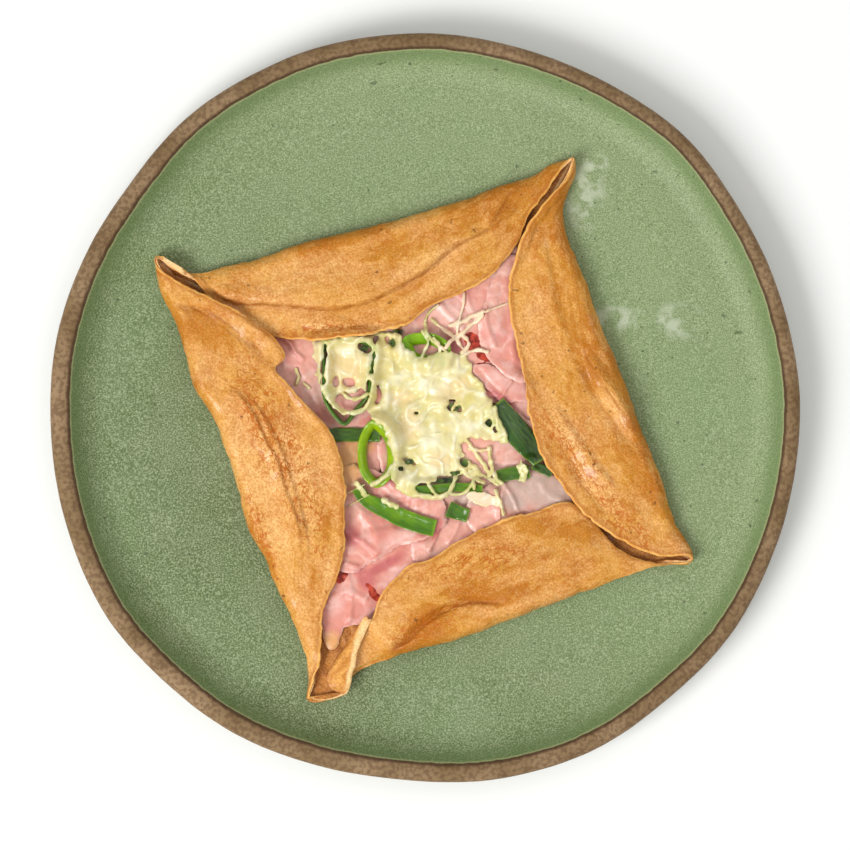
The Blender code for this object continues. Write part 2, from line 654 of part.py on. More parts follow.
def swept(name, path, half_wide, bottom, top, closed, finish, collection):
    """A rectangular bar along a path, its faces at the given heights."""
    ahead = np.roll(path, -1, axis=0) if closed else np.vstack([path[1:], path[-1:]])
    behind = np.roll(path, 1, axis=0) if closed else np.vstack([path[:1], path[:-1]])
    forward = ahead - behind
    forward /= np.linalg.norm(forward, axis=1)[:, None]
    side = np.stack([-forward[:, 1], forward[:, 0]], axis=1) * half_wide
    points = []
    for place, off, low, high in zip(path, side, bottom, top):
        points += [(*(place + off), low), (*(place - off), low), (*(place - off), high),
                   (*(place + off), high)]
    faces = []
    count = len(path)
    for k in range(count if closed else count - 1):
        a, b = 4 * k, 4 * ((k + 1) % count)
        for edge in range(4):
            beside = (edge + 1) % 4
            faces.append([a + edge, a + beside, b + beside, b + edge])
    if not closed:
        faces.append([3, 2, 1, 0])
        faces.append([4 * count - 4, 4 * count - 3, 4 * count - 2, 4 * count - 1])
    made = add_object(name, points, faces, finish, collection)
    face_outwards(made)


def make_leek(pile, finishes, collection):
    """Lay the greens on the ham; returns the pile's height on the fine grid."""
    x, y = grid_points(FINE_PITCH)
    pieces = [(name, points, width / 2, LEEK_THICK, False)
              for name, (points, width) in LEEK_STRIPS.items()]
    pieces += [(name, points, RING_WALL / 2, tall, True)
               for name, (points, tall) in LEEK_RINGS.items()]
    for name, points, half_wide, tall, closed in pieces:
        if closed:
            path = smooth_outline(points, RING_STEPS)
        else:
            path = smooth_path(points, max(4, int(path_knots(points)[-1] / STRIP_STEP)))
        under = distance_to_path(x, y, path, closed) < half_wide + FINE_PITCH
        bottom = np.zeros(len(path))
        for i, j in np.argwhere(under):
            away = np.hypot(path[:, 0] - x[i, j], path[:, 1] - y[i, j])
            nearest = np.argsort(away)[:2]
            bottom[nearest] = np.maximum(bottom[nearest], pile[i, j] + GAP)
        top = bottom + tall
        swept(name, path, half_wide, bottom, top, closed, finishes["leek"], collection)
        for i, j in np.argwhere(under):
            away = np.hypot(path[:, 0] - x[i, j], path[:, 1] - y[i, j])
            pile[i, j] = max(pile[i, j], top[np.argsort(away)[:2]].max())
    return pile


def make_cheese(pile, finishes, collection):
    x, y = grid_points(CHEESE_PITCH)
    below = spread(pile, 2)[::2, ::2]
    depth = signed_inside(x, y, smooth_outline(CHEESE_OUTLINE, 200))
    for (hole_x, hole_y), radius in CHEESE_HOLES:
        depth = np.minimum(depth, np.hypot(x - hole_x, y - hole_y) - radius)
    bottom = soften(below) + GAP
    top = bottom + CHEESE_THICK * (0.55 + 0.45 * ease(depth / 4))
    touched = sheet_solid("cheese", x, y, depth, bottom, top, finishes["cheese"], collection)
    return np.maximum(pile, halve_pitch(np.where(touched, top, below)))


def main():
    clear_scene()
    collection = new_collection("savory_crepe")
    finishes = {
        "glaze": material("green_glaze", (0.22, 0.27, 0.15), 0.45),
        "crepe": material("browned_crepe", (0.72, 0.33, 0.09), 0.45),
        "ham": material("cooked_ham", (0.80, 0.42, 0.36), 0.40),
        "leek": material("leek_green", (0.10, 0.24, 0.02), 0.40),
        "cheese": material("melted_cheese", (0.80, 0.72, 0.42), 0.35),
    }
    make_plate(finishes["glaze"], collection)
    pile = halve_pitch(halve_pitch(make_ham(finishes, collection)))
    pile = make_leek(pile, finishes, collection)
    pile = make_cheese(pile, finishes, collection)
    make_crepe(pile, finishes["crepe"], collection)


main()
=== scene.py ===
import math

import bmesh
import bpy
import numpy as np
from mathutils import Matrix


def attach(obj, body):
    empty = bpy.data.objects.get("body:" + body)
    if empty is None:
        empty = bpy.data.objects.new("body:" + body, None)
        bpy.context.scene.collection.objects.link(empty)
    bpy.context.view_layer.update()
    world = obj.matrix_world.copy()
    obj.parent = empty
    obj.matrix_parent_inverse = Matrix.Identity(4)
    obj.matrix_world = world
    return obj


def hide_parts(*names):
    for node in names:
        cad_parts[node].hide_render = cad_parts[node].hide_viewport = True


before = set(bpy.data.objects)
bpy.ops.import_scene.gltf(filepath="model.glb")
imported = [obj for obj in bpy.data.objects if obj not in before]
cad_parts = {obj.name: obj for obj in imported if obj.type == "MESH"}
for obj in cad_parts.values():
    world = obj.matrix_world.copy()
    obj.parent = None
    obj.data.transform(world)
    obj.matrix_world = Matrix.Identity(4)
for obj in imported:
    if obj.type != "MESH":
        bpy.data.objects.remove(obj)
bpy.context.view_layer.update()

# A folded savory crepe on its plate, put together as it is in the kitchen: the plate, the
# ham, the leek, the melted cheese, then the crepe that holds them, and the studio round it.
# Sizes are in millimetres until a mesh is made. X runs right, Y away, Z up from the table.
MM = 0.001


# The plate. A hand-thrown stoneware coupe, glazed green all over its face, with a bare
# brown lip wiped clean before firing and a bare ring underneath to stand on.
RIM_RADIUS = 138.0
RIM_WAVES = ((1, 1.0, 279), (2, 0.3, 133), (3, 0.8, 85), (4, 0.6, 33), (6, 0.4, 49), (9, 0.35, 7),
             (13, 0.12, 20), (17, 0.12, 3))
LIP_WAVES = ((2, 0.35, 60), (5, 0.3, 10))
LIP_WIDTH_CHANGE = 0.9     # the lip is this much wider than usual at its widest
LIP_WIDEST_AT = 222.0      # degrees round from the right
ROUND_STEPS = 540
WELL_HEIGHT = 6.0
DISH_RADIUS = 118.0
DISH_CLIMB = 9.5
DISH_SAG = 1.2
LIP_INNER = 131.5
LIP_HEIGHT = 17.6
FOOT_RADIUS = 84.0
FOOT_WIDTH = 6.0
FOOT_DEPTH = 2.4
PLATE_WALL = 4.2
WAVES_START = 100.0        # inside this radius the plate is truly round
BROAD_WAVES = 6            # so many of the rim's waves set where its middle is
EDGE_UNEVENNESS = 0.35
FACE_STEPS = 14
EDGE_STEPS = 64
# Where grease was smeared on the glaze and painted reflections lie on it:
# middle across, middle away, half width, half depth.
GREASE_AND_REFLECTION_MARKS = ((59.0, 78.0, 8.0, 14.0), (63.0, 90.0, 5.0, 6.0), (70.0, 33.0, 12.0, 5.0),
                (93.0, 32.0, 12.0, 7.0))


def ease(value):
    """0 to 1 with a soft start and a soft end."""
    value = np.clip(value, 0.0, 1.0)
    return value * value * (3 - 2 * value)


def waves(angle, terms):
    """A sum of waves round a ring: how many, how high, and where the first crest is."""
    return sum(high * np.cos(count * (angle - math.radians(crest))) for count, high, crest in terms)


def plate_top(x, y):
    """Height of the plate's glazed face."""
    radius = np.hypot(x, y)
    dish = DISH_SAG * (np.minimum(radius, DISH_RADIUS) / DISH_RADIUS) ** 3
    climb = DISH_CLIMB * np.clip((radius - DISH_RADIUS) / (LIP_INNER - DISH_RADIUS), 0, 1) ** 2.2
    return WELL_HEIGHT + dish + climb


def path_knots(points):
    """How far along a line each of its points is."""
    steps = np.linalg.norm(np.diff(np.array(points, float), axis=0), axis=1)
    return np.concatenate([[0.0], np.cumsum(steps)])


def smooth_curve(points, at, knots=None, closed=False, period=None):
    """Places along a smooth curve through the points, at the given knot values."""
    points = np.array(points, float)
    if knots is None:
        knots = path_knots(points)
        if closed:
            period = knots[-1] + np.linalg.norm(points[0] - points[-1])
    knots = np.array(knots, float)
    if closed:
        points = np.vstack([points[-2:], points, points[:2]])
        knots = np.concatenate([knots[-2:] - period, knots, knots[:2] + period])
    slopes = np.gradient(points, knots, axis=0)
    at = np.asarray(at, float)
    if closed:
        first = knots[2]
        at = (at - first) % period + first
    index = np.clip(np.searchsorted(knots, at, side="right") - 1, 0, len(knots) - 2)
    width = (knots[index + 1] - knots[index])[:, None]
    u = (at - knots[index])[:, None] / width
    rise = (2 * u**3 - 3 * u**2 + 1) * points[index] + (3 * u**2 - 2 * u**3) * points[index + 1]
    turn = (u**3 - 2 * u**2 + u) * slopes[index] + (u**3 - u**2) * slopes[index + 1]
    return rise + turn * width


def put(tree, kind, inputs=None, **settings):
    """Add a node, set its options, and set or link its inputs."""
    node = tree.nodes.new(kind)
    for name, value in settings.items():
        setattr(node, name, value)
    for name, value in (inputs or {}).items():
        if isinstance(value, bpy.types.NodeSocket):
            tree.links.new(value, node.inputs[name])
        else:
            node.inputs[name].default_value = value
    return node


def work_out(tree, operation, first, second=0.0, third=0.0):
    """One sum on numbers, as a socket."""
    inputs = {0: first, 1: second, 2: third}
    return put(tree, "ShaderNodeMath", inputs, operation=operation).outputs[0]


def times(tree, first, second):
    """Two numbers multiplied, as a socket."""
    return work_out(tree, "MULTIPLY", first, second)


def between(tree, value, low, high, to_low=0.0, to_high=1.0, kind="SMOOTHSTEP"):
    """A value's way from low to high, as 0 to 1."""
    inputs = {"Value": value, 1: low, 2: high, 3: to_low, 4: to_high}
    node = put(tree, "ShaderNodeMapRange", inputs, interpolation_type=kind, clamp=True)
    return node.outputs["Result"]


def plate_section():
    """Half the plate's section from the middle of its face to the middle below, and how far
    each place is past the glaze's edge."""
    face_radii = np.concatenate([[0.0, 6.0], np.linspace(14.0, DISH_RADIUS, FACE_STEPS),
                                 np.linspace(DISH_RADIUS + 1.5, LIP_INNER - 0.6, FACE_STEPS)])
    face = [(radius, float(plate_top(radius, 0.0))) for radius in face_radii]
    lip = ((LIP_INNER, LIP_HEIGHT - 1.2), (LIP_INNER + 2.2, LIP_HEIGHT),
           (RIM_RADIUS - 1.0, LIP_HEIGHT - 1.0), (RIM_RADIUS, LIP_HEIGHT - 4.0))
    under = ((LIP_INNER, WELL_HEIGHT + 2.4), (DISH_RADIUS, WELL_HEIGHT + DISH_SAG - PLATE_WALL + 0.8),
             (FOOT_RADIUS + 3.0, FOOT_DEPTH), (FOOT_RADIUS, 0.05))
    round_edge = face[-2:] + list(lip) + list(under)
    edge = smooth_curve(round_edge, np.linspace(0, path_knots(round_edge)[-1], EDGE_STEPS))
    foot = [(FOOT_RADIUS - 0.4, 0.0), (FOOT_RADIUS - FOOT_WIDTH + 0.4, 0.0),
            (FOOT_RADIUS - FOOT_WIDTH, 0.4), (FOOT_RADIUS - FOOT_WIDTH - 1.5, FOOT_DEPTH),
            (40.0, FOOT_DEPTH), (0.0, FOOT_DEPTH)]
    section = np.vstack([face[:-2], edge, foot])
    along = path_knots(section)
    start = along[np.argmin(np.hypot(section[:, 0] - LIP_INNER, section[:, 1] - LIP_HEIGHT + 1.2))]
    return section, along - start


def plate_tree(finish):
    """Turns a section round an upright axis, its rim pushed in and out in waves."""
    tree = bpy.data.node_groups.new("turned_plate", "GeometryNodeTree")
    face = tree.interface
    face.new_socket("Section", in_out="INPUT", socket_type="NodeSocketGeometry")
    sizes = {"Round Steps": ROUND_STEPS, "Waves Start": WAVES_START * MM,
             "Lip Inner Radius": LIP_INNER * MM, "Rim Radius": RIM_RADIUS * MM,
             "Lip Width Change": LIP_WIDTH_CHANGE * MM, "Lip Widest At": math.radians(LIP_WIDEST_AT),
             "Edge Unevenness": EDGE_UNEVENNESS * MM, "Middle X": 0.0, "Middle Y": 0.0,
             "Section Points": 0}
    for name, terms in (("Rim", RIM_WAVES), ("Lip", LIP_WAVES)):
        for number, (count, high, crest) in enumerate(terms, 1):
            sizes[f"{name} Wave {number} Count"] = float(count)
            sizes[f"{name} Wave {number} Height"] = high * MM
            sizes[f"{name} Wave {number} Turn"] = math.radians(crest)
    for name, value in sizes.items():
        kind = "NodeSocketInt" if name in ("Round Steps", "Section Points") else "NodeSocketFloat"
        made = face.new_socket(name, in_out="INPUT", socket_type=kind)
        made.default_value = value
    face.new_socket("Plate", in_out="OUTPUT", socket_type="NodeSocketGeometry")
    given = tree.nodes.new("NodeGroupInput").outputs

    def summed_waves(name, terms, angle):
        """The tree's own sum of a set of named waves."""
        total = 0.0
        for number in range(1, len(terms) + 1):
            from_crest = work_out(tree, "SUBTRACT", angle, given[f"{name} Wave {number} Turn"])
            turned = times(tree, from_crest, given[f"{name} Wave {number} Count"])
            swell = work_out(tree, "COSINE", turned)
            high = given[f"{name} Wave {number} Height"]
            total = work_out(tree, "MULTIPLY_ADD", swell, high, total)
        return total

    columns = work_out(tree, "ADD", given["Round Steps"], 1.0)
    grid = put(tree, "GeometryNodeMeshGrid",
               {"Vertices X": columns, "Vertices Y": given["Section Points"]})
    index = tree.nodes.new("GeometryNodeInputIndex").outputs[0]
    row = work_out(tree, "FLOORED_MODULO", index, given["Section Points"])
    column = work_out(tree, "FLOOR", work_out(tree, "DIVIDE", index, given["Section Points"]))
    whole = put(tree, "FunctionNodeFloatToInt", {0: row}, rounding_mode="ROUND").outputs[0]
    position = tree.nodes.new("GeometryNodeInputPosition").outputs[0]
    place = put(tree, "GeometryNodeSampleIndex",
                {"Geometry": given["Section"], "Value": position, "Index": whole},
                data_type="FLOAT_VECTOR")
    past = put(tree, "GeometryNodeInputNamedAttribute", {"Name": "past_glaze"}, data_type="FLOAT")
    past_glaze = put(tree, "GeometryNodeSampleIndex",
                     {"Geometry": given["Section"], "Value": past.outputs[0], "Index": whole},
                     data_type="FLOAT").outputs[0]
    radius, _, height = put(tree, "ShaderNodeSeparateXYZ", {0: place.outputs[0]}).outputs
    turn = work_out(tree, "DIVIDE", math.tau, given["Round Steps"])
    angle = times(tree, column, turn)
    share = between(tree, radius, given["Waves Start"], given["Lip Inner Radius"])
    rim = summed_waves("Rim", RIM_WAVES, angle)
    lift = times(tree, summed_waves("Lip", LIP_WAVES, angle), share)

    # The lip is wider to one side: only its inner edge moves.
    inside = between(tree, radius, given["Waves Start"], given["Lip Inner Radius"], kind="LINEAR")
    outside = between(tree, radius, given["Lip Inner Radius"], given["Rim Radius"],
                      1.0, 0.0, "LINEAR")
    lip_share = work_out(tree, "MINIMUM", inside, outside)
    to_widest = work_out(tree, "COSINE", work_out(tree, "SUBTRACT", angle, given["Lip Widest At"]))
    wider = times(tree, to_widest, given["Lip Width Change"])
    narrowed = times(tree, wider, lip_share)
    grown = work_out(tree, "MULTIPLY_ADD", rim, share, work_out(tree, "SUBTRACT", radius, narrowed))
    x = times(tree, grown, work_out(tree, "COSINE", angle))
    y = times(tree, grown, work_out(tree, "SINE", angle))
    x = work_out(tree, "SUBTRACT", x, times(tree, share, given["Middle X"]))
    y = work_out(tree, "SUBTRACT", y, times(tree, share, given["Middle Y"]))
    where = put(tree, "ShaderNodeCombineXYZ", {0: x, 1: y, 2: work_out(tree, "ADD", height, lift)})
    placed = put(tree, "GeometryNodeSetPosition",
                 {"Geometry": grid.outputs["Mesh"], "Position": where.outputs[0]})
    kept = put(tree, "GeometryNodeStoreNamedAttribute",
               {"Geometry": placed.outputs[0], "Name": "past_glaze", "Value": past_glaze},
               data_type="FLOAT", domain="POINT")
    closed = put(tree, "GeometryNodeMergeByDistance",
                 {"Geometry": kept.outputs[0], "Distance": 0.02 * MM})

    # Uneven by hand where the lip was wiped.
    noise = put(tree, "ShaderNodeTexNoise", {"Vector": position, "Scale": 90.0, "Detail": 3.0},
                noise_dimensions="3D").outputs[0]
    on_lip = times(tree, between(tree, past.outputs[0], -0.5, 1.0),
                      between(tree, past.outputs[0], 10.0, 14.0, 1.0, 0.0))
    how_uneven = times(tree, on_lip, given["Edge Unevenness"])
    push = times(tree, work_out(tree, "SUBTRACT", noise, 0.6), how_uneven)
    normal = tree.nodes.new("GeometryNodeInputNormal").outputs[0]
    offset = put(tree, "ShaderNodeVectorMath", {0: normal, "Scale": push}, operation="SCALE")
    worn = put(tree, "GeometryNodeSetPosition",
               {"Geometry": closed.outputs[0], "Offset": offset.outputs[0]})
    smooth = put(tree, "GeometryNodeSetShadeSmooth", {0: worn.outputs[0]})
    real = put(tree, "GeometryNodeRealizeInstances", {0: smooth.outputs[0]})
    set_finish = put(tree, "GeometryNodeSetMaterial", {"Geometry": real.outputs[0]})
    set_finish.inputs["Material"].default_value = finish
    put(tree, "NodeGroupOutput", {0: set_finish.outputs[0]})
    return tree


def tree_result(name, source, tree, values):
    """A plain mesh object from a Geometry Nodes tree run on the source object."""
    source.name = name + "_source"
    step = source.modifiers.new(name, "NODES")
    step.node_group = tree
    for socket in tree.interface.items_tree:
        if socket.in_out == "INPUT" and socket.name in values:
            step[socket.identifier] = values[socket.name]
    seen = source.evaluated_get(bpy.context.evaluated_depsgraph_get())
    mesh = bpy.data.meshes.new_from_object(seen)
    source.modifiers.remove(step)
    bpy.data.objects.remove(source, do_unlink=True)
    made = bpy.data.objects.new(name, mesh)
    mesh.name = name
    bpy.context.scene.collection.objects.link(made)
    return made


def face_outwards(mesh):
    """Turn a closed mesh's faces to look out of it."""
    work = bmesh.new()
    work.from_mesh(mesh)
    bmesh.ops.recalc_face_normals(work, faces=work.faces)
    if work.calc_volume(signed=True) < 0:
        bmesh.ops.reverse_faces(work, faces=work.faces)
    work.to_mesh(mesh)
    work.free()


def paint(red, green, blue):
    """A colour as a screen shows it, from 0 to 255, for a shader."""
    shares = [value / 255 for value in (red, green, blue)]
    return (*[share / 12.92 if share < 0.04 else ((share + 0.055) / 1.055) ** 2.4
              for share in shares], 1.0)


def blend(tree, share, first, second, kind="MIX"):
    """Two colours mixed, as a socket."""
    inputs = {0: share, 6: first, 7: second}
    return put(tree, "ShaderNodeMix", inputs, data_type="RGBA", blend_type=kind).outputs[2]


def shader_group(name, inputs, outputs):
    """An empty shader node group with named sockets."""
    group = bpy.data.node_groups.new(name, "ShaderNodeTree")
    for label, value in inputs.items():
        kind = "NodeSocketVector" if value is None else "NodeSocketFloat"
        made = group.interface.new_socket(label, in_out="INPUT", socket_type=kind)
        if value is not None:
            made.default_value = value
    for label in outputs:
        group.interface.new_socket(label, in_out="OUTPUT", socket_type="NodeSocketFloat")
    return group, group.nodes.new("NodeGroupInput").outputs


def patches_group():
    """Soft patches of a size in millimetres: 0 between them and 1 inside."""
    group, given = shader_group("patches", {"Place": None, "Size": 10.0, "Share": 0.5,
                                            "Softness": 0.15, "Detail": 3.0}, ["Patch"])
    scale = work_out(group, "DIVIDE", 1000.0, given["Size"])
    noise = put(group, "ShaderNodeTexNoise", {"Vector": given["Place"], "Scale": scale,
                                              "Detail": given["Detail"]}).outputs[0]
    edge = work_out(group, "SUBTRACT", 1.0, given["Share"])
    low = work_out(group, "SUBTRACT", edge, given["Softness"])
    high = work_out(group, "ADD", edge, given["Softness"])
    put(group, "NodeGroupOutput", {0: between(group, noise, low, high)})
    return group


def veins_group():
    """Wandering thin lines, a given distance apart and a given share of it wide."""
    group, given = shader_group("veins", {"Place": None, "Spacing": 5.0, "Width": 0.2,
                                          "Wander": 0.5}, ["Line"])
    scale = work_out(group, "DIVIDE", 1000.0, given["Spacing"])
    noise = put(group, "ShaderNodeTexNoise", {"Vector": given["Place"], "Scale": scale,
                                              "Detail": 2.5, "Roughness": given["Wander"]}).outputs[0]
    away = work_out(group, "ABSOLUTE", work_out(group, "SUBTRACT", noise, 0.5))
    half = times(group, given["Width"], 0.25)
    put(group, "NodeGroupOutput", {0: between(group, away, 0.0, half, 1.0, 0.0)})
    return group


PATCHES = patches_group()
VEINS = veins_group()


def patches(tree, place, size, share=0.5, softness=0.2, detail=3.0):
    """The patches group placed in a material, with its own values."""
    inputs = {"Place": place, "Size": size, "Share": share, "Softness": softness, "Detail": detail}
    return put(tree, "ShaderNodeGroup", inputs, node_tree=PATCHES).outputs[0]


def veins(tree, place, spacing, width, wander):
    """The veins group placed in a material, with its own values."""
    inputs = {"Place": place, "Spacing": spacing, "Width": width, "Wander": wander}
    return put(tree, "ShaderNodeGroup", inputs, node_tree=VEINS).outputs[0]


def lay_over(tree, colour, *coats):
    """Coats of paint over a ground, each with the mask that it shows through and its share."""
    for mask, share, tint in coats:
        colour = blend(tree, times(tree, mask, share), colour, paint(*tint))
    return colour


def dress(tree, shader, colour, mask, change, rough):
    """Give a shader its colour, and a roughness that a mask changes."""
    tree.links.new(colour, shader.inputs["Base Color"])
    roughness = work_out(tree, "MULTIPLY_ADD", mask, change, rough)
    tree.links.new(roughness, shader.inputs["Roughness"])


def new_finish(name, constants):
    """A material, its node tree, its main shader and the place on the object."""
    made = bpy.data.materials.new(name)
    made.use_nodes = True
    tree = made.node_tree
    shader = tree.nodes["Principled BSDF"]
    for label, value in constants.items():
        shader.inputs[label].default_value = value
    place = tree.nodes.new("ShaderNodeTexCoord").outputs["Object"]
    return made, tree, shader, place


def attribute(tree, name):
    """A value that is kept on the mesh's points."""
    return put(tree, "ShaderNodeAttribute", attribute_name=name).outputs["Fac"]


def bump(tree, shader, height, distance, strength=1.0, under=None):
    """Raise the surface by a height in the shader; distance is in millimetres."""
    inputs = {"Height": height, "Distance": distance * MM, "Strength": strength}
    if under is not None:
        inputs["Normal"] = under
    made = put(tree, "ShaderNodeBump", inputs).outputs[0]
    tree.links.new(made, shader.inputs["Normal"])
    return made


def plate_finish():
    """Green satin glaze with fine light and dark grains, and bare brown clay past its edge."""
    made, tree, shader, place = new_finish("green_glaze_brown_lip", {"Specular IOR Level": 0.3})
    past = attribute(tree, "past_glaze")
    x, y, _ = put(tree, "ShaderNodeSeparateXYZ", {0: place}).outputs
    pale_grain = patches(tree, place, 0.6, 0.47, 0.14)
    dark_grain = patches(tree, place, 0.42, 0.47, 0.14)

    # Painted shade: the glaze is darker toward the near left, and a little darker where the dish
    # climbs.
    slant = work_out(tree, "MULTIPLY_ADD", y, 0.8, x)
    glaze = blend(tree, between(tree, slant, -0.13, 0.12), paint(84, 98, 50), paint(142, 159, 110))
    glaze = lay_over(tree, glaze,
                     (patches(tree, place, 60.0), 0.42, (112, 142, 92)),
                     (patches(tree, place, 16.0), 0.3, (138, 146, 112)),
                     (pale_grain, 0.6, (186, 198, 158)),
                     (dark_grain, 0.6, (76, 94, 52)),
                     # painted shade on the climbing wall
                     (between(tree, past, -9.0, -3.0), 0.5, (98, 122, 70)))

    # Grease wiped over the glaze where the crepe slid, with painted reflections in the same pale marks,
    # and a few pinholes in the glaze.
    smear_and_reflection = patches(tree, place, 5.0, 0.48, 0.1, 8.0)
    for middle_x, middle_y, half_wide, half_deep in GREASE_AND_REFLECTION_MARKS:
        square = []
        for value, middle, half in ((x, middle_x, half_wide), (y, middle_y, half_deep)):
            away = work_out(tree, "SUBTRACT", value, middle * MM)
            away = work_out(tree, "DIVIDE", away, half * MM)
            square.append(times(tree, away, away))
        away = work_out(tree, "ADD", *square)
        mark = times(tree, between(tree, away, 0.1, 1.3, 0.7, 0.0), smear_and_reflection)
        glaze = lay_over(tree, glaze, (mark, 1.0, (190, 198, 172)))
    pinholes = patches(tree, place, 2.2, 0.175, 0.012, 0.0)
    glaze = lay_over(tree, glaze, (pinholes, 0.55, (58, 62, 40)))
    lip_grain = patches(tree, place, 1.6, 0.48, 0.12)
    clay = blend(tree, patches(tree, place, 18.0), paint(122, 97, 63), paint(148, 121, 89))
    clay = lay_over(tree, clay, (lip_grain, 0.55, (86, 58, 34)))

    # A thin pale line where the glaze ends, then a thin dark line of painted shade at the foot of the
    # lip, where it rises from the glaze.
    wander = work_out(tree, "SUBTRACT", patches(tree, place, 5.0, 0.5, 0.5), 0.5)
    edge = work_out(tree, "MULTIPLY_ADD", wander, 0.8, past)
    pale_line = times(tree, between(tree, edge, -1.0, -0.5),
                      between(tree, edge, -0.2, 0.1, 1.0, 0.0))
    glaze = lay_over(tree, glaze, (pale_line, 0.5, (168, 166, 118)))
    # painted shade at the foot of the lip
    dark_line = times(tree, between(tree, edge, -0.2, 0.1), between(tree, edge, 0.7, 1.8, 1.0, 0.0))
    clay = lay_over(tree, clay, (dark_line, 0.8, (66, 42, 24)))
    on_lip = times(tree, between(tree, edge, -0.15, 0.15),
                   between(tree, edge, 13.0, 14.0, 1.0, 0.0))
    bare = work_out(tree, "MAXIMUM", on_lip, between(tree, edge, 66.0, 67.0))
    dress(tree, shader, blend(tree, bare, glaze, clay), bare, 0.25, 0.5)
    bump(tree, shader, blend(tree, bare, pale_grain, times(tree, lip_grain, 2.0)), 0.12, 0.35)
    return made


section, past_glaze = plate_section()
line = bpy.data.meshes.new("section")
line.from_pydata([(radius * MM, 0.0, height * MM) for radius, height in section],
                 [(i, i + 1) for i in range(len(section) - 1)], [])
held = line.attributes.new("past_glaze", "FLOAT", "POINT")
held.data.foreach_set("value", past_glaze)
turned = bpy.data.objects.new("section", line)
bpy.context.scene.collection.objects.link(turned)
all_round = np.linspace(0, math.tau, 720)
edge_radius = RIM_RADIUS + waves(all_round, RIM_WAVES[:BROAD_WAVES])
edge_x, edge_y = edge_radius * np.cos(all_round), edge_radius * np.sin(all_round)
plate = tree_result("plate_glazed", turned, plate_tree(plate_finish()), {
    "Middle X": (edge_x.max() + edge_x.min()) / 2 * MM,
    "Middle Y": (edge_y.max() + edge_y.min()) / 2 * MM,
    "Section Points": len(section)})
face_outwards(plate.data)
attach(plate, "root")
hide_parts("plate")


# The ham. Thin slices of cooked ham laid one over another, each its own sheet with torn
# edges, some folded over: every slice drapes over whatever lies under it.
GAP = 0.2                  # room between one piece and the next
SHEET = 1.7                # the crepe's sheet, which lies under the ham as well
GRID_HALF = 93.0
PITCH = 0.5
HAM_THICK = 1.0
HAM_OUTLINE_STEP = 1.5
HAM_SWELL = (-0.45, 1.3)   # how far folds and waves may take a slice's face down and up
# Waves of the slices' torn edges and of their faces: height, size and seed.
HAM_RAGGED = ((0.5, 5.0, 0), (0.25, 1.8, 20))
HAM_WAVED = ((0.34, 12.0, 40), (0.14, 4.0, 60))
TEAR_SHADE_SLICES = 5            # only the first slices laid down show red tears, painted dark as the shade in their gaps


def smooth_outline(points, step):
    """A closed smooth outline through a few points, a step in millimetres apart."""
    ring = np.vstack([points, points[:1]])
    length = path_knots(ring)[-1]
    count = max(12, int(length / step))
    return smooth_curve(points, np.arange(count) * length / count, closed=True)


def smooth_path(points, step):
    """An open smooth line through a few points, a step in millimetres apart."""
    length = path_knots(points)[-1]
    return smooth_curve(points, np.linspace(0, length, max(3, int(length / step) + 1)))


def beside_line(x, y, path, closed=False):
    """Distance in plan to a line, and whether each place lies on its left."""
    path = np.array(path, float)[:, :2]
    ends = np.roll(path, -1, axis=0) if closed else path[1:]
    starts = path if closed else path[:-1]
    best, left = np.full(np.shape(x), np.inf), np.zeros(np.shape(x), bool)
    for (ax, ay), (bx, by) in zip(starts, ends):
        dx, dy = bx - ax, by - ay
        along = np.clip(((x - ax) * dx + (y - ay) * dy) / max(dx * dx + dy * dy, 1e-9), 0, 1)
        away = np.hypot(x - ax - along * dx, y - ay - along * dy)
        nearer = away < best
        best = np.where(nearer, away, best)
        left = np.where(nearer, dx * (y - ay) - dy * (x - ax) > 0, left)
    return best, left


def signed_inside(x, y, outline):
    """Distance to a closed outline, above zero inside it and below zero outside."""
    within = np.zeros(x.shape, bool)
    for (ax, ay), (bx, by) in zip(outline, np.roll(outline, -1, axis=0)):
        crosses = (ay > y) != (by > y)
        within ^= crosses & (x < ax + (y - ay) * (bx - ax) / (by - ay if by != ay else 1e-9))
    distance = beside_line(x, y, outline, closed=True)[0]
    return np.where(within, distance, -distance)


def grid_points(pitch):
    """X and Y of a square grid's points over the filling."""
    line = np.arange(-GRID_HALF, GRID_HALF + pitch / 2, pitch)
    return np.meshgrid(line, line, indexing="ij")


def windows(heights):
    """The grid nine times over: each point itself and the eight round it."""
    padded = np.pad(heights, 1, mode="edge")
    rows, columns = heights.shape
    return [padded[i:i + rows, j:j + columns] for i in range(3) for j in range(3)]


def spread(heights, rounds):
    """Each point takes the highest value near it."""
    for _ in range(rounds):
        heights = np.max(windows(heights), axis=0)
    return heights


def blur(heights, rounds):
    """Each point takes the mean of those near it."""
    for _ in range(rounds):
        heights = sum(windows(heights)) / 9
    return heights


def draped(pile, rounds=4):
    """The height of a soft sheet laid on the pile: it clears every step and rounds it."""
    return blur(spread(pile, rounds), rounds) + GAP


def height_at(heights, pitch, x, y):
    """Heights at places between the grid's points."""
    i = np.clip((np.asarray(x, float) + GRID_HALF) / pitch, 0, heights.shape[0] - 1.001)
    j = np.clip((np.asarray(y, float) + GRID_HALF) / pitch, 0, heights.shape[1] - 1.001)
    i0, j0 = i.astype(int), j.astype(int)
    u, v = i - i0, j - j0
    return ((1 - u) * (1 - v) * heights[i0, j0] + u * (1 - v) * heights[i0 + 1, j0]
            + (1 - u) * v * heights[i0, j0 + 1] + u * v * heights[i0 + 1, j0 + 1])


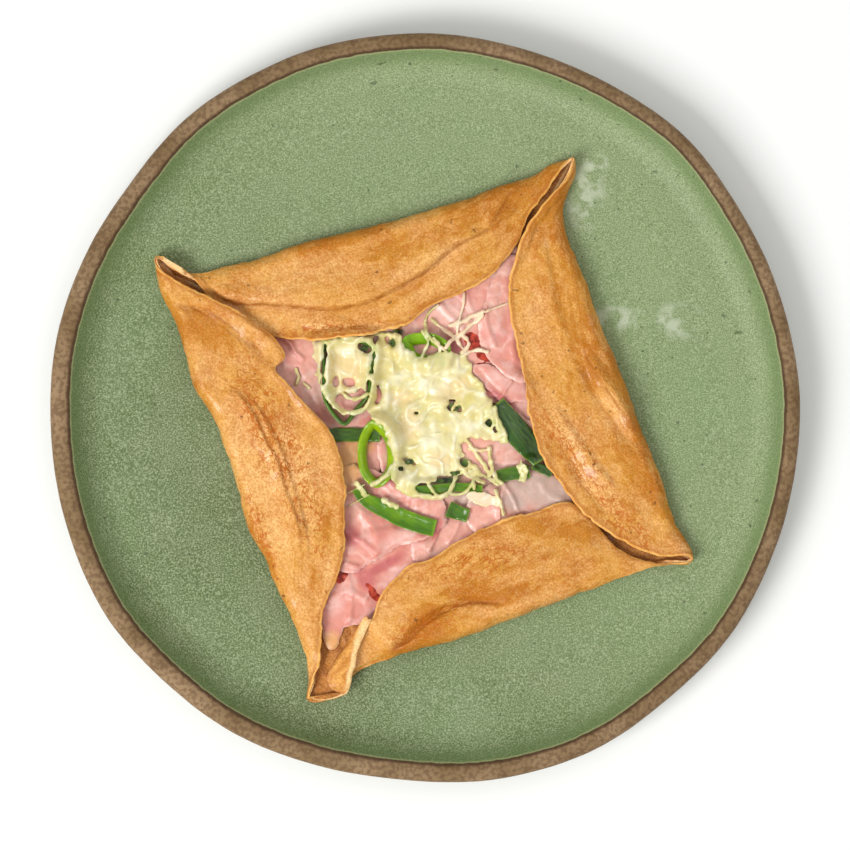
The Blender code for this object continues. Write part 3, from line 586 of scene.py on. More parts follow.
def ripple(x, y, size, seed, count=14):
    """Soft random waves about a size in millimetres, from -1 to 1."""
    chance = np.random.default_rng(seed)
    total = np.zeros(np.shape(x))
    for _ in range(count):
        turn = chance.uniform(0, math.tau)
        number = math.tau / (size * chance.uniform(0.7, 1.5))
        along = number * (x * math.cos(turn) + y * math.sin(turn))
        total += np.cos(along + chance.uniform(0, math.tau))
    return np.clip(total / math.sqrt(count), -2, 2) / 2


def ripples(x, y, terms, first_seed=0):
    """Soft random waves added up: each has a height, a size and a seed."""
    return sum(high * ripple(x, y, size, seed + first_seed) for high, size, seed in terms)


def mesh_piece(name, points, faces, finish, values, sharp=60):
    """A smooth-shaded piece from points in millimetres, with values kept on its points."""
    mesh = bpy.data.meshes.new(name)
    points = np.asarray(points, float) * MM
    mesh.from_pydata(points.tolist(), [], faces)
    for label, numbers in values.items():
        kept = mesh.attributes.new(label, "FLOAT", "POINT")
        kept.data.foreach_set("value", np.asarray(numbers, np.float32))
    mesh.shade_smooth()
    mesh.set_sharp_from_angle(angle=math.radians(sharp))
    mesh.materials.append(finish)
    face_outwards(mesh)
    made = bpy.data.objects.new(name, mesh)
    bpy.context.scene.collection.objects.link(made)
    return made


def clip_triangle(corners, depth):
    """The part of a grid triangle where depth is above zero, as vertex keys."""
    kept = []
    for here, there in zip(corners, corners[1:] + corners[:1]):
        if depth[here] > 0:
            kept.append((here, here, 0.0))
        if (depth[here] > 0) != (depth[there] > 0):
            first, second = sorted((here, there))
            share = depth[first] / (depth[first] - depth[second])
            kept.append((first, second, min(max(float(share), 0.02), 0.98)))
    return kept


def sheet_piece(name, x, y, depth, bottom, top, finish, values):
    """A thin closed sheet over the grid points where depth is above zero."""
    faces, order, cuts = [], {}, []
    cells = spread(depth, 1)[:-1, :-1] > 0
    for i, j in np.argwhere(cells):
        i, j = int(i), int(j)
        near, right, far, left = (i, j), (i + 1, j), (i + 1, j + 1), (i, j + 1)
        for corners in ([near, right, far], [near, far, left]):
            kept = clip_triangle(corners, depth)
            if len(kept) < 3:
                continue
            face = []
            for cut in kept:
                key = cut[:2]
                if key not in order:
                    order[key] = len(order)
                    cuts.append(cut)
                face.append(order[key])
            faces.append(face)
    first = tuple(np.array([cut[0] for cut in cuts]).T)
    second = tuple(np.array([cut[1] for cut in cuts]).T)
    share = np.array([cut[2] for cut in cuts])

    def cut_value(field):
        """A grid value at each point of the cut sheet."""
        return field[first] * (1 - share) + field[second] * share

    count = len(cuts)
    flat = [cut_value(x), cut_value(y)]
    upper = np.stack(flat + [cut_value(top)], axis=1)
    lower = np.stack(flat + [cut_value(bottom)], axis=1)
    used = set()
    for face in faces:
        used.update(zip(face, face[1:] + face[:1]))
    walls = [[b, a, a + count, b + count] for a, b in used if (b, a) not in used]
    under = [[index + count for index in reversed(face)] for face in faces]
    kept_values = {label: np.tile(cut_value(field), 2) for label, field in values.items()}
    return mesh_piece(name, np.vstack([upper, lower]), faces + under + walls, finish, kept_values)


def oval(x, y, middle, long_half, short_half, turn):
    """How far each place is from an oval's middle: 1 is on the oval itself."""
    dx, dy = x - middle[0], y - middle[1]
    c, s = math.cos(math.radians(turn)), math.sin(math.radians(turn))
    return np.hypot((dx * c + dy * s) / long_half, (dy * c - dx * s) / short_half)


def spots(x, y, places):
    """0 to 1 inside soft ovals: middle, half length, half width, and turn in degrees."""
    total = np.zeros(np.shape(x))
    for place in places:
        total = np.maximum(total, ease(1.5 - oval(x, y, *place)))
    return total


def relief(x, y, lines):
    """Height added by folds and creases: their line, height (a crease is below 0) and width."""
    total = np.zeros(np.shape(x))
    for points, height, width in lines:
        away = beside_line(x, y, smooth_path(points, 3.0))[0]
        total = total + height * np.exp(-(away / width) ** 2)
    return total


# Each slice, from the lowest up: its outline, and its folds' lines, heights and widths.
HAM = {
    "ham_left": (((-57, 29), (-43, 31), (-26, 31), (-15, 31), (-9, 28), (-10, 18), (-14, 3),
                  (-15, -14), (-18, -25), (-33, -26), (-42, -10), (-54, 3), (-60, 17)),
                 ((((-52.5, 26.5), (-50.3, 24.6), (-48.5, 21.3), (-45.1, 17.9)), 1.2, 0.8),
                  (((-46.2, 15.4), (-41.8, 7.2), (-38.9, -1.7)), 0.7, 1.6))),
    "ham_top_right": (((6, 45), (20, 54), (33, 60), (39, 54), (37, 36), (42, 14), (45, -3),
                       (38, -8), (29.5, -0.5), (20, 3), (2, 4), (-9, 21), (-7, 34)),
                      ((((5.5, 37.9), (10, 33.1), (13.7, 28.7)), 0.9, 1.2),
                       (((15.2, 43.5), (16.6, 36.8), (20.4, 31.6)), 0.8, 1.0),
                       (((11.1, 39.8), (15.2, 35.3), (21.1, 31.6)), -0.6, 1.2))),
    "ham_centre": (((-15, -5), (2, 2), (20, 1), (38, -4), (50, -18), (56, -29), (50, -37),
                    (33, -36), (15, -32), (-4, -33), (-16, -23)),
                   ((((15.2, -23.1), (27.8, -20.2), (34.4, -20.2)), 0.5, 1.2),)),
    "ham_lower_lobe": (((-30, -53), (-9, -47), (0, -52), (-4, -62), (-13, -73), (-21, -79),
                        (-30.5, -82), (-32, -88), (-35, -89.5), (-37.5, -85), (-38.5, -78),
                        (-42, -71), (-38, -60)),
                       ((((-35.1, -71.2), (-29.6, -67.5), (-22.2, -70.5)), 0.9, 1.4),
                        (((-28.5, -62), (-27, -69.4), (-27.8, -77.9)), 0.7, 1.2))),
    "ham_lower_middle": (((0, -30), (17, -30), (30, -36), (31, -45), (17, -54), (4, -61),
                          (-4, -56), (-4, -42)),
                         ((((5.5, -41.6), (4.1, -47.2), (1.9, -52)), 1.1, 0.8),
                          (((12.9, -38.7), (12.2, -43.5), (9.2, -49)), 0.7, 1.0))),
    "ham_lower_left": (((-31, -22), (-11, -26), (6, -33), (8, -42), (1, -48), (-9, -51),
                        (-18, -56), (-27, -61), (-34, -59), (-38, -47), (-37, -32)),
                       ((((-23.3, -38.7), (-18.5, -45.3), (-16.6, -53.5)), 0.8, 1.8),
                        (((-29.2, -46.1), (-23.3, -49), (-18.1, -53.5)), 0.7, 1.0),
                        (((-29.2, -57.2), (-22.2, -59), (-14.8, -54.9), (-8.5, -50.9)), 1.2, 0.8))),
    "ham_lower_right": (((27, -27), (39, -23), (52, -27), (58, -34), (50, -41), (35, -44),
                         (24, -49), (17, -45), (16, -34)),
                        ((((28.9, -28.3), (32.2, -32.7), (34.4, -38.7)), 1.0, 0.7),
                         (((29.2, -28.3), (27.8, -34.2), (27.4, -40.9)), 0.9, 0.7),
                         (((42.5, -27.6), (45.5, -32), (50, -34.2)), 0.6, 1.4))),
    "ham_roll": (((17, 15), (23, 16), (30, 12.5), (39, 7.5), (41, 3), (33, 2), (27, 3), (22, 8)),
                 ((((19.6, 13.9), (24.1, 8.7), (28.1, 5.7)), -0.6, 0.8),
                  (((32.2, 10.2), (29.6, 6.5), (27.8, 3.5)), 1.0, 0.7))),
    "ham_fold": (((19.5, 27), (23, 18.5), (29.5, 12), (36, 9), (42, 13), (39, 29), (36, 44),
                  (38, 55), (31, 56), (25, 47), (21.5, 37)),
                 ((((21.8, 39.8), (22.6, 30.5), (25.5, 23.1)), 1.1, 1.1),
                  (((27.8, 43.5), (28.5, 35.3), (30, 28.7)), -0.5, 1.6),
                  (((33.3, 32.4), (32.2, 25), (32.9, 18.3)), 0.6, 1.4))),
}
# Soft ovals on the ham: red tears painted dark as the shade in the gaps they open, painted
# shadow in deeper pink under folded edges and in hollows, painted shade over leek green under
# the cheese's openings, cheese melted to oil, greyish fat, and pale places.
HAM_MARKS = {
    "gap": (
        ((17.4, 24.2), 4.4, 3, -62), ((21.8, 19.1), 3.3, 2, -15), ((19.6, 14.6), 3.3, 1.9, 25),
        ((-31.1, -62.3), 3, 2.2, 60), ((-18.5, -69.4), 3.3, 1.3, -40), ((-20, -66.4), 3, 0.9, -40)),
    "deep": (
        ((-15.9, -58.6), 9.6, 1.9, 30), ((-21.8, -63.1), 3.3, 4.4, 30), ((-27, -47.5), 3, 3.7, 20),
        ((11.1, 23.1), 4.4, 3.3, 0), ((27.8, 3.5), 7.4, 1.5, -35), ((4.4, -44.6), 4.4, 1.5, 70),
        ((-14.8, -26.8), 7.4, 2.2, 0)),
    "leek_in_shade": (
        ((-11.7, 23.9), 1.9, 1.9, 0), ((-22.2, 22), 1.9, 1.5, 20), ((10.9, 0.4), 3, 2.2, 10),
        ((-8.9, -22.6), 2.2, 1.5, 30), ((-5.5, -19.8), 3, 1.5, 20), ((14.4, -20.9), 2.2, 2.6, -30),
        ((11.5, -24.2), 3, 1.5, 0), ((7.8, -26.8), 5.9, 1.5, 5), ((-16.6, -7.6), 2.2, 1.9, 0),
        ((23.7, -6.1), 2.2, 2.6, -20), ((-10, 27.9), 2.2, 1.9, 0), ((-3.3, -2), 1.5, 1.1, 0),
        ((-1.9, -30.2), 3.7, 1.5, 0)),
    "melted": (
        ((-27.8, -20.2), 4.4, 9.6, 5), ((-23.3, -14.2), 4.4, 3, 0), ((-34.8, -87.1), 4.4, 4.4, 0)),
    "fat": (
        ((44.4, -30.5), 16.3, 6.7, -8), ((42.5, -29.8), 11.1, 4.4, -8),
        ((33.3, -34.2), 5.2, 4.4, 0), ((16.6, -33.5), 7.4, 2.6, 0)),
    "pale": (
        ((-32.6, -73.1), 4.4, 2.6, 60), ((10, 35.3), 10.4, 5.2, -10),
        ((-12.2, -62.3), 5.2, 2.2, 40), ((-35.9, 7.2), 5.2, 6.7, 0),
        ((-9.2, -47.2), 8.9, 2.2, 30), ((29.6, 9.4), 6.7, 2.2, -35)),
}


def ham_finish():
    """Cooked ham: pink, paler where fat shows, with fine fibres and a moist sheen."""
    made, tree, shader, place = new_finish("cooked_ham", {
        "Specular IOR Level": 0.5, "Subsurface Weight": 0.15, "Subsurface Scale": 0.002,
        "Subsurface Radius": (1.0, 0.4, 0.3)})
    middle = patches(tree, place, 7.0, 0.42, 0.12)
    fine = patches(tree, place, 1.6)
    streaks = veins(tree, place, 13.0, 0.22, 0.55)
    edge = between(tree, attribute(tree, "from_edge"), 0.0, 1.2, 1.0, 0.0)
    broad = patches(tree, place, 22.0, 0.5, 0.12)
    colour = blend(tree, broad, paint(224, 150, 132), paint(235, 180, 162))
    colour = lay_over(tree, colour,
                      (middle, 0.45, (216, 134, 126)),
                      (streaks, 0.4, (246, 212, 202)),
                      (fine, 0.24, (206, 110, 100)),
                      (attribute(tree, "fat"), 0.82, (192, 168, 154)),
                      (attribute(tree, "pale"), 0.32, (248, 210, 200)),
                      # painted highlight along each slice's edge
                      (edge, 0.45, (248, 206, 196)),
                      # painted shadow under folded edges and in hollows
                      (attribute(tree, "deep"), 0.78, (190, 92, 94)))
    # Painted shade: dark red where torn edges open gaps onto the slice beneath.
    tear_shade_mask = work_out(tree, "MULTIPLY_ADD", middle, 0.3, attribute(tree, "gap"))
    tear_shade_mask = work_out(tree, "MULTIPLY_ADD", fine, 0.2, tear_shade_mask)
    tear_shade_colour = blend(tree, fine, paint(206, 74, 44), paint(128, 24, 10))
    colour = blend(tree, between(tree, tear_shade_mask, 0.68, 0.82), colour, tear_shade_colour)
    # Painted shade and leek green on the ham under the cheese's openings.
    under_cheese = blend(tree, fine, paint(96, 128, 44), paint(28, 38, 12))
    colour = blend(tree, attribute(tree, "leek_in_shade"), colour, under_cheese)
    colour = lay_over(tree, colour, (attribute(tree, "melted"), 0.75, (224, 168, 92)))
    dress(tree, shader, colour, middle, 0.15, 0.3)
    bump(tree, shader, work_out(tree, "ADD", fine, times(tree, streaks, 0.6)), 0.12, 0.4)
    return made


grid_x, grid_y = grid_points(PITCH)
pile = plate_top(grid_x, grid_y) + GAP + SHEET
cooked_ham = ham_finish()
marks = {label: spots(grid_x, grid_y, places) for label, places in HAM_MARKS.items()}
for number, (name, (outline, folds)) in enumerate(HAM.items()):
    depth = signed_inside(grid_x, grid_y, smooth_outline(outline, HAM_OUTLINE_STEP))
    depth = depth + ripples(grid_x, grid_y, HAM_RAGGED, number)
    bottom = draped(pile)
    top = bottom + HAM_THICK * (0.45 + 0.55 * ease(depth / 0.9))
    waved = ripples(grid_x, grid_y, HAM_WAVED, number) + relief(grid_x, grid_y, folds)
    swell = np.clip(waved, *HAM_SWELL) * ease(depth / 1.6)
    bottom = bottom + np.maximum(swell, 0) * 0.8
    top = top + np.maximum(swell, -0.4)
    slice_piece = sheet_piece(name + "_slice", grid_x, grid_y, depth, bottom, top, cooked_ham, {
        **marks, "from_edge": depth, "gap": marks["gap"] * (number < TEAR_SHADE_SLICES)})
    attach(slice_piece, "root")
    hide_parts(name)
    pile = np.where(depth > -PITCH, np.maximum(pile, top), pile)


# The leek. Green outer leaves cut across: flat strips with fine ribs along them, rings that
# stand on their cut edge, and one larger dark leaf tucked under the ham at the right.
LEEK_THICK = 0.9
STRIP_STEP = 0.5
STRIP_ACROSS = 15
RING_STEP = 0.45
# A ring's section: sideways as a share of its wall, and up as a share of its height.
RING_SECTION = ((-0.5, 0.0), (-0.5, 0.35), (-0.48, 0.7), (-0.4, 0.92), (-0.2, 1.0), (0.0, 1.02),
                (0.2, 1.0), (0.4, 0.92), (0.48, 0.7), (0.5, 0.35), (0.5, 0.0), (0.0, 0.0))
# Each flat piece: its line and width along it, how deep a green, and how much its edges lift.
LEEK_STRIPS = {
    "leek_strip_left": (((-35.9, -10.2), (-31.1, -10), (-25.9, -10), (-16.6, -10.2)),
                         (5.0, 5.2, 5.2, 5.0), 0.85, 0.1),
    "leek_strip_long": (((-25.2, -29.4), (-22.6, -33.1), (-16.3, -36.8), (-9.6, -40.1),
                         (-2.6, -42.7), (3.7, -44.4)),
                        (4.2, 5.0, 6.0, 6.6, 6.6, 6.3), 0.2, 0.55),
    "leek_strip_short": (((8.5, -37.2), (12.2, -38.7), (15.9, -39.8)), (5.6, 5.6, 4.6), 0.5, 0.2),
    "leek_strip_edge": (((-4.1, -30.5), (1.9, -30.2), (10, -29.4), (16.6, -29.4), (21.1, -29.8)),
                         (3.4, 3.4, 3.2, 3.2, 2.6), 0.35, 0.3),
    "leek_strip_right": (((26.6, -25.3), (32.2, -24.2), (38.5, -23.5)), (4.6, 4.8, 5.0), 0.6, 0.4),
    "leek_strip_far": (((39.6, -20.9), (42.9, -22.4), (46.6, -24.6)), (3.2, 3.6, 2.8), 0.9, 0.1),
    "leek_leaf": (((25.5, 0.9), (30.7, -5.4), (35.1, -10.5), (38.9, -15), (41.8, -20.2)),
                   (8.4, 9.6, 9.4, 8.6, 5.0), 1.0, 0.25),
}
# Each ring: its line, height, how far its top leans out, wall, and how deep a green.
LEEK_RINGS = {
    "leek_ring_left": (((-36, 24), (-37, 12), (-37, 4.5), (-34, -2), (-29.6, -6), (-25.5, -1),
                        (-21.5, 4), (-20, 15), (-19, 22), (-27, 25)), 3.4, 0.5, 1.5, 0.6),
    "leek_ring_yellow": (((-19, -6), (-22.5, -11), (-23.3, -18), (-21.5, -25), (-18, -28),
                          (-13, -24), (-12, -18), (-14, -10)), 3.3, 1.8, 2.2, 0.12),
    "leek_ring_top": (((-6.5, 24.4), (-2, 25.6), (4, 24.8), (7.5, 22), (6.5, 18.5), (1, 17),
                       (-5, 19)), 3.0, 3.2, 1.5, 0.0),
}


def leek_finish(name, bright, other_bright, rib_and_highlight):
    """Cooked leek leaf: green ribs along the leaf, lighter between them, with a wet gloss."""
    made, tree, shader, place = new_finish(name, {
        "Specular IOR Level": 0.42, "Subsurface Weight": 0.04, "Subsurface Scale": 0.001,
        "Subsurface Radius": (0.5, 1.0, 0.2)})
    over = attribute(tree, "over")
    along = times(tree, attribute(tree, "along"), 0.2 * MM)
    ribs_at = put(tree, "ShaderNodeCombineXYZ", {0: times(tree, over, MM), 1: along}).outputs[0]
    ribs = patches(tree, ribs_at, 0.9, detail=2.0)
    cloud = patches(tree, place, 7.0)
    fine = patches(tree, place, 1.5, 0.45, 0.15)
    edge = between(tree, attribute(tree, "from_edge"), 0.0, 0.5, 1.0, 0.0)
    light = blend(tree, cloud, paint(*bright), paint(*other_bright))
    dark = blend(tree, cloud, paint(32, 54, 28), paint(60, 84, 54))
    colour = lay_over(tree, blend(tree, attribute(tree, "deep_green"), light, dark),
                      (ribs, 0.14, rib_and_highlight),
                      # painted shade along one side of each piece
                      (between(tree, over, -3.0, 0.4, 0.5, 0.0), 1.0, (44, 92, 10)),
                      (fine, 0.12, (40, 74, 10)),
                      # painted highlight along the edges
                      (edge, 0.4, rib_and_highlight))
    dress(tree, shader, colour, fine, 0.15, 0.14)
    bump(tree, shader, ribs, 0.07, 0.5)
    return made


def beside(path, closed):
    """The level direction square to a line at each of its points."""
    ahead = np.roll(path, -1, axis=0) if closed else np.vstack([path[1:], path[-1:]])
    behind = np.roll(path, 1, axis=0) if closed else np.vstack([path[:1], path[:-1]])
    forward = ahead - behind
    forward /= np.linalg.norm(forward, axis=1)[:, None]
    return np.stack([-forward[:, 1], forward[:, 0]], axis=1)


def lofted(name, loops, closed, finish, values):
    """A solid through like loops of points, capped at both ends unless it closes on itself."""
    count, size = loops.shape[:2]
    faces = []
    for k in range(count if closed else count - 1):
        a, b = size * k, size * ((k + 1) % count)
        faces += [[a + e, a + (e + 1) % size, b + (e + 1) % size, b + e] for e in range(size)]
    if not closed:
        faces += [list(range(size))[::-1], list(range(size * (count - 1), size * count))]
    return mesh_piece(name, loops.reshape(-1, 3), faces, finish,
                      {label: field.ravel() for label, field in values.items()}, sharp=70)


def lay_strip(name, line, widths, deep, lift, pile, finish):
    """A flat leaf strip laid on the pile, its edges lifted a little."""
    path = smooth_path(line, STRIP_STEP)
    way = np.linspace(0, 1, len(path))
    half = np.interp(way * path_knots(line)[-1], path_knots(line), widths) / 2
    half = half + 0.15 * ripple(path[:, 0], path[:, 1], 4.0, len(name))
    side = beside(path, False)
    share = np.linspace(-1, 1, STRIP_ACROSS)
    flat = path[:, None] + side[:, None] * (half[:, None] * share[None, :])[:, :, None]
    floor_height = height_at(draped(pile, 3), PITCH, flat[:, :, 0], flat[:, :, 1])
    floor_height = np.maximum(floor_height, floor_height.mean(axis=1)[:, None])
    rise = floor_height + lift * share[None, :] ** 2
    rise = rise + 0.12 * ripple(flat[:, :, 0], flat[:, :, 1], 6.0, 3)
    round_edge = np.sqrt(1 - 0.8 * np.abs(share) ** 6)
    upper = np.dstack([flat, rise + LEEK_THICK * round_edge[None, :]])
    lower = np.dstack([flat, rise + LEEK_THICK * (1 - round_edge)[None, :] * 0.5])
    loops = np.concatenate([upper, lower[:, ::-1]], axis=1)
    over = np.tile(np.concatenate([share, share[::-1]]), (len(path), 1)) * half[:, None]
    from_edge = np.minimum(half[:, None] - np.abs(over), (way * (1 - way) * 4 * 3)[:, None])
    along = np.tile(path_knots(path)[:, None], (1, over.shape[1]))
    made = lofted(name + "_leaf", loops, False, finish, {
        "over": over, "along": along, "from_edge": from_edge, "deep_green": np.full(over.shape, deep)})
    return made, flat, upper[:, :, 2]


def stand_ring(name, line, tall, lean, wall, deep, pile, finish):
    """A leaf ring on its cut edge: a band with a round top that leans out a little."""
    path = smooth_outline(line, RING_STEP)
    side = beside(path, True)
    middle = path.mean(axis=0)
    out = np.sign(np.einsum("ij,ij->i", side, path - middle))
    side = side * np.where(out.mean() > 0, 1.0, -1.0)
    way = np.arange(len(path)) / len(path) * math.tau
    top_high = tall * (1 + 0.10 * np.cos(3 * way + 1.0) + 0.06 * np.cos(7 * way))
    under = height_at(draped(pile, 2), PITCH, path[:, 0], path[:, 1])
    smooth = np.convolve(np.tile(under, 3), np.ones(15) / 15, mode="same")
    under = np.maximum(under, smooth[len(under):2 * len(under)])
    loops, over = [], []
    for sideways, high in RING_SECTION:
        place = path + side * (sideways * wall + lean * (high * high - 0.5))
        loops.append(np.column_stack([place, under + high * top_high]))
        over.append(np.full(len(path), sideways * wall + high * 2))
    loops = np.stack(loops, axis=1)
    over = np.stack(over, axis=1)
    along = np.tile(path_knots(path)[:, None], (1, over.shape[1]))
    made = lofted(name + "_band", loops, True, finish, {
        "over": over, "along": along, "from_edge": np.full(over.shape, 2.0),
        "deep_green": deep * (1 + 0.25 * np.cos(2 * way))[:, None] * np.ones(over.shape)})
    return made, loops[:, :, :2], loops[:, :, 2]


def grid_index(places, pitch, count):
    """The grid line nearest to each place."""
    return ((places + GRID_HALF) / pitch).round().astype(int).clip(0, count - 1)


def raise_pile(pile, flat, tops, rounds=1):
    """The pile with a piece's top on it."""
    i = grid_index(flat[..., 0].ravel(), PITCH, len(pile))
    j = grid_index(flat[..., 1].ravel(), PITCH, len(pile))
    high = np.full(pile.shape, -1.0)
    np.maximum.at(high, (i, j), tops.ravel())
    return np.maximum(pile, spread(high, rounds))


before_leek = pile.copy()
green_leek = leek_finish("green_leek", (112, 158, 4), (70, 124, 0), (148, 184, 40))
lime_leek = leek_finish("lime_leek", (134, 178, 10), (108, 156, 4), (170, 200, 60))
pale_leek = leek_finish("yellow_green_leek", (158, 190, 0), (118, 164, 0), (196, 208, 40))
for name, (line, widths, deep, lift) in LEEK_STRIPS.items():
    leaf, flat, tops = lay_strip(name, line, widths, deep, lift, pile, green_leek)
    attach(leaf, "root")
    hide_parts(name)
    pile = raise_pile(pile, flat, tops)
for name, (line, tall, lean, wall, deep) in LEEK_RINGS.items():
    finish = {"leek_ring_yellow": pale_leek, "leek_ring_top": lime_leek}.get(name, green_leek)
    band, flat, tops = stand_ring(name, line, tall, lean, wall, deep, pile, finish)
    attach(band, "root")
    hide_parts(name)
    pile = raise_pile(pile, flat, tops)


# The cheese. Grated cheese melted into one blanket over the ham and leek, drawn into strands
# and lumps, with round openings through which the filling shows.
CHEESE_PITCH = 0.4
CHEESE_THICK = 1.5
CHEESE_STEP = 0.8
CHEESE_TOP = 17.5          # no cheese stands higher than this over the table
CHEESE_OUTLINE = ((-40.7, 24.6), (-41.4, 20.5), (-40.3, 15.4), (-39.6, 10.2), (-38.1, 6.5),
                   (-35.9, 3.5), (-33.7, 2), (-32.2, 3.9), (-29.6, 5.4), (-25.9, 5.7),
                   (-22.9, 7.2), (-21.1, 5.7), (-20, 2.8), (-20.7, -0.9), (-20, -3.5),
                   (-18.1, -5.4), (-15.2, -8.3), (-13.7, -12), (-12.2, -16.5), (-11.8, -21.3),
                   (-12.2, -25.3), (-10.4, -28.3), (-7.8, -31.3), (-5.2, -31.3), (-3.3, -28.7),
                   (-0.4, -27.9), (2.6, -27.2), (4.8, -25.7), (7.8, -25.3), (11.5, -25),
                   (15.2, -25), (18.1, -25.7), (20.4, -25.3), (19.6, -22.4), (16.6, -20.2),
                   (14.1, -17.9), (12.9, -15), (14.4, -12.4), (18.1, -11.3), (23.3, -12),
                   (27.8, -13.1), (30.7, -13.1), (29.2, -9.8), (26.6, -5.4), (25.5, -0.2),
                   (23.3, 5), (20.4, 9.4), (17.8, 13.1), (16.6, 16.8), (13.7, 19.1), (9.2, 20.5),
                   (5.5, 20.5), (1.9, 19.1), (-2.6, 19.1), (-5.9, 21.3), (-8.1, 24.6),
                   (-10, 27.2), (-13.7, 27.9), (-18.1, 27.6), (-24.1, 26.5), (-29.6, 26.5),
                   (-35.1, 25.7))
CHEESE_HOLES = (
    ((-22.2, 22), 2.6, 1.9, 20), ((-11.7, 23.9), 1.1, 1.3, 0), ((10, 0), 1.7, 1.5, -10),
    ((12.4, -0.4), 1.1, 1.3, 0), ((10.4, 2.4), 1.2, 0.7, 0), ((-16.6, -7.6), 1.5, 1.2, 0),
    ((-8.9, -22.6), 1.3, 0.9, 30), ((-5.5, -20), 2.4, 1, 25), ((14.4, -20.2), 1.3, 1.9, -30),
    ((16.6, -22.8), 1.1, 0.9, 0), ((11.1, -23.9), 2, 0.8, 0), ((7, -26.5), 3.7, 0.9, 5),
    ((13.3, -25.5), 1.1, 0.7, 0), ((23.3, -5.7), 1.3, 1.5, 0), ((25.9, -8.3), 0.9, 1.1, 0),
    ((-32.9, 9.4), 1.2, 1.9, 0), ((-28.1, 9.1), 2.2, 1.9, 20), ((-3.3, -2), 0.8, 0.6, 0),
    ((-15.5, -15), 0.6, 1, 0))
CHEESE_STRANDS = (
    (((-37, 7.2), (-35.5, 3.5), (-32.9, 0.6), (-29.6, -1.5), (-25.2, -1.7), (-21.8, -0.2),
      (-20, 2.8)), 0.95),
    (((-30.7, 5.7), (-27.8, 3.5), (-24.1, 3.5), (-21.1, 5)), 0.7),
    (((-1.1, 28.3), (1.1, 23.9), (-0.4, 20.5), (-1.1, 18.3)), 0.55),
    (((3.3, 25.7), (5.2, 22.8), (5.9, 19.1), (6.7, 16.8)), 0.55),
    (((0, 30.9), (0.7, 27.2), (4.1, 23.5), (7.8, 20.5), (11.1, 18.3)), 0.6),
    (((14.4, 42.4), (14.1, 37.9), (12.2, 30.5), (11.5, 25)), 0.5),
    (((21.5, 35), (25.9, 36.8), (30.3, 38.3)), 0.45),
    (((2.6, 32.4), (6.7, 29), (11.1, 25.7), (13.7, 22)), 0.65),
    (((4.8, 37.9), (0.7, 34.2), (-0.4, 30.5)), 0.45),
    (((9.2, 30.2), (13.7, 31.6), (18.1, 33.9), (21.1, 35.3)), 0.9),
    (((11.5, 25.7), (15.2, 28.7), (18.1, 31.6), (21.1, 33.9)), 0.8),
    (((7.8, 22), (10, 25), (12.9, 26.5), (15.2, 25.7), (15.9, 22.8), (13.7, 20.5)), 0.7),
    (((13.7, 19.1), (16.6, 20.5), (19.6, 21.3), (22.9, 20.5)), 0.7),
    (((16.6, -15.4), (20.4, -15.7), (24.1, -15.4)), 0.6),
    (((15.2, -12), (18.1, -15.7), (20.4, -19.4), (22.6, -22.4), (23.7, -25)), 0.75),
    (((23.7, -14.6), (24.1, -18.7), (24.8, -23.1), (26.3, -26.1), (28.1, -27.6)), 0.8),
    (((13.7, -23.9), (17.4, -25.7), (21.5, -27.6)), 0.7),
    (((-10, -29.4), (-4.8, -32), (0.4, -32.4), (5.5, -33.1), (8.1, -31.6), (10, -29),
      (11.1, -26.1)), 0.8),
    (((8.1, -31.3), (12.2, -32), (15.2, -30.9), (17, -28.3), (18.1, -26.1)), 0.6),
    (((1.1, -27.6), (2.6, -30.2), (4.8, -32.7)), 0.6),
    (((-5.2, -30.5), (-1.1, -32.7), (3.3, -33.1), (7.8, -32)), 0.9),
    (((-6.3, -29.8), (-4.1, -32)), 1.0),
    (((10, -0.6), (11.1, 0.9), (11.8, 2.4)), 0.5),
    (((16.6, -23.1), (20.4, -24.6), (24.1, -26.5), (26.6, -28.3)), 0.6),
    (((18.1, -29.8), (17.8, -26.8), (18.9, -23.9)), 0.6),
    (((21.8, 5.7), (19.6, 2.8), (18.9, -0.9), (21.1, -3.1)), 0.8),
    (((25.5, -0.2), (26.3, -3.9), (27, -7.6), (29.6, -10.5)), 0.9),
    (((24.8, -1.7), (27, -4.6), (28.9, -8.3), (30.3, -12.4)), 0.7),
    (((-25.2, -27.6), (-23.7, -29.8), (-21.8, -32.4)), 0.9),
    (((-19.6, -28.3), (-16.6, -26.8), (-13.7, -24.2), (-12.2, -21.6)), 0.9),
    (((-15.2, -33.9), (-12.9, -35.3), (-10.7, -36.4)), 1.0),
    (((35.5, -21.6), (36.3, -23.9), (35.9, -26.1)), 1.5),
    (((25.9, -30.5), (27.4, -34.2), (28.9, -39.4)), 0.65),
    (((-29.2, -32), (-25.9, -30.2), (-22.2, -28.3)), 0.22),
    (((-29.2, -36.8), (-25.2, -34.6), (-20.4, -32)), 0.22),
    (((-47.7, 14.2), (-46.6, 11.3), (-47.4, 8.7)), 0.6),
    (((-44.8, 9.1), (-42.5, 7.2)), 0.5),
)
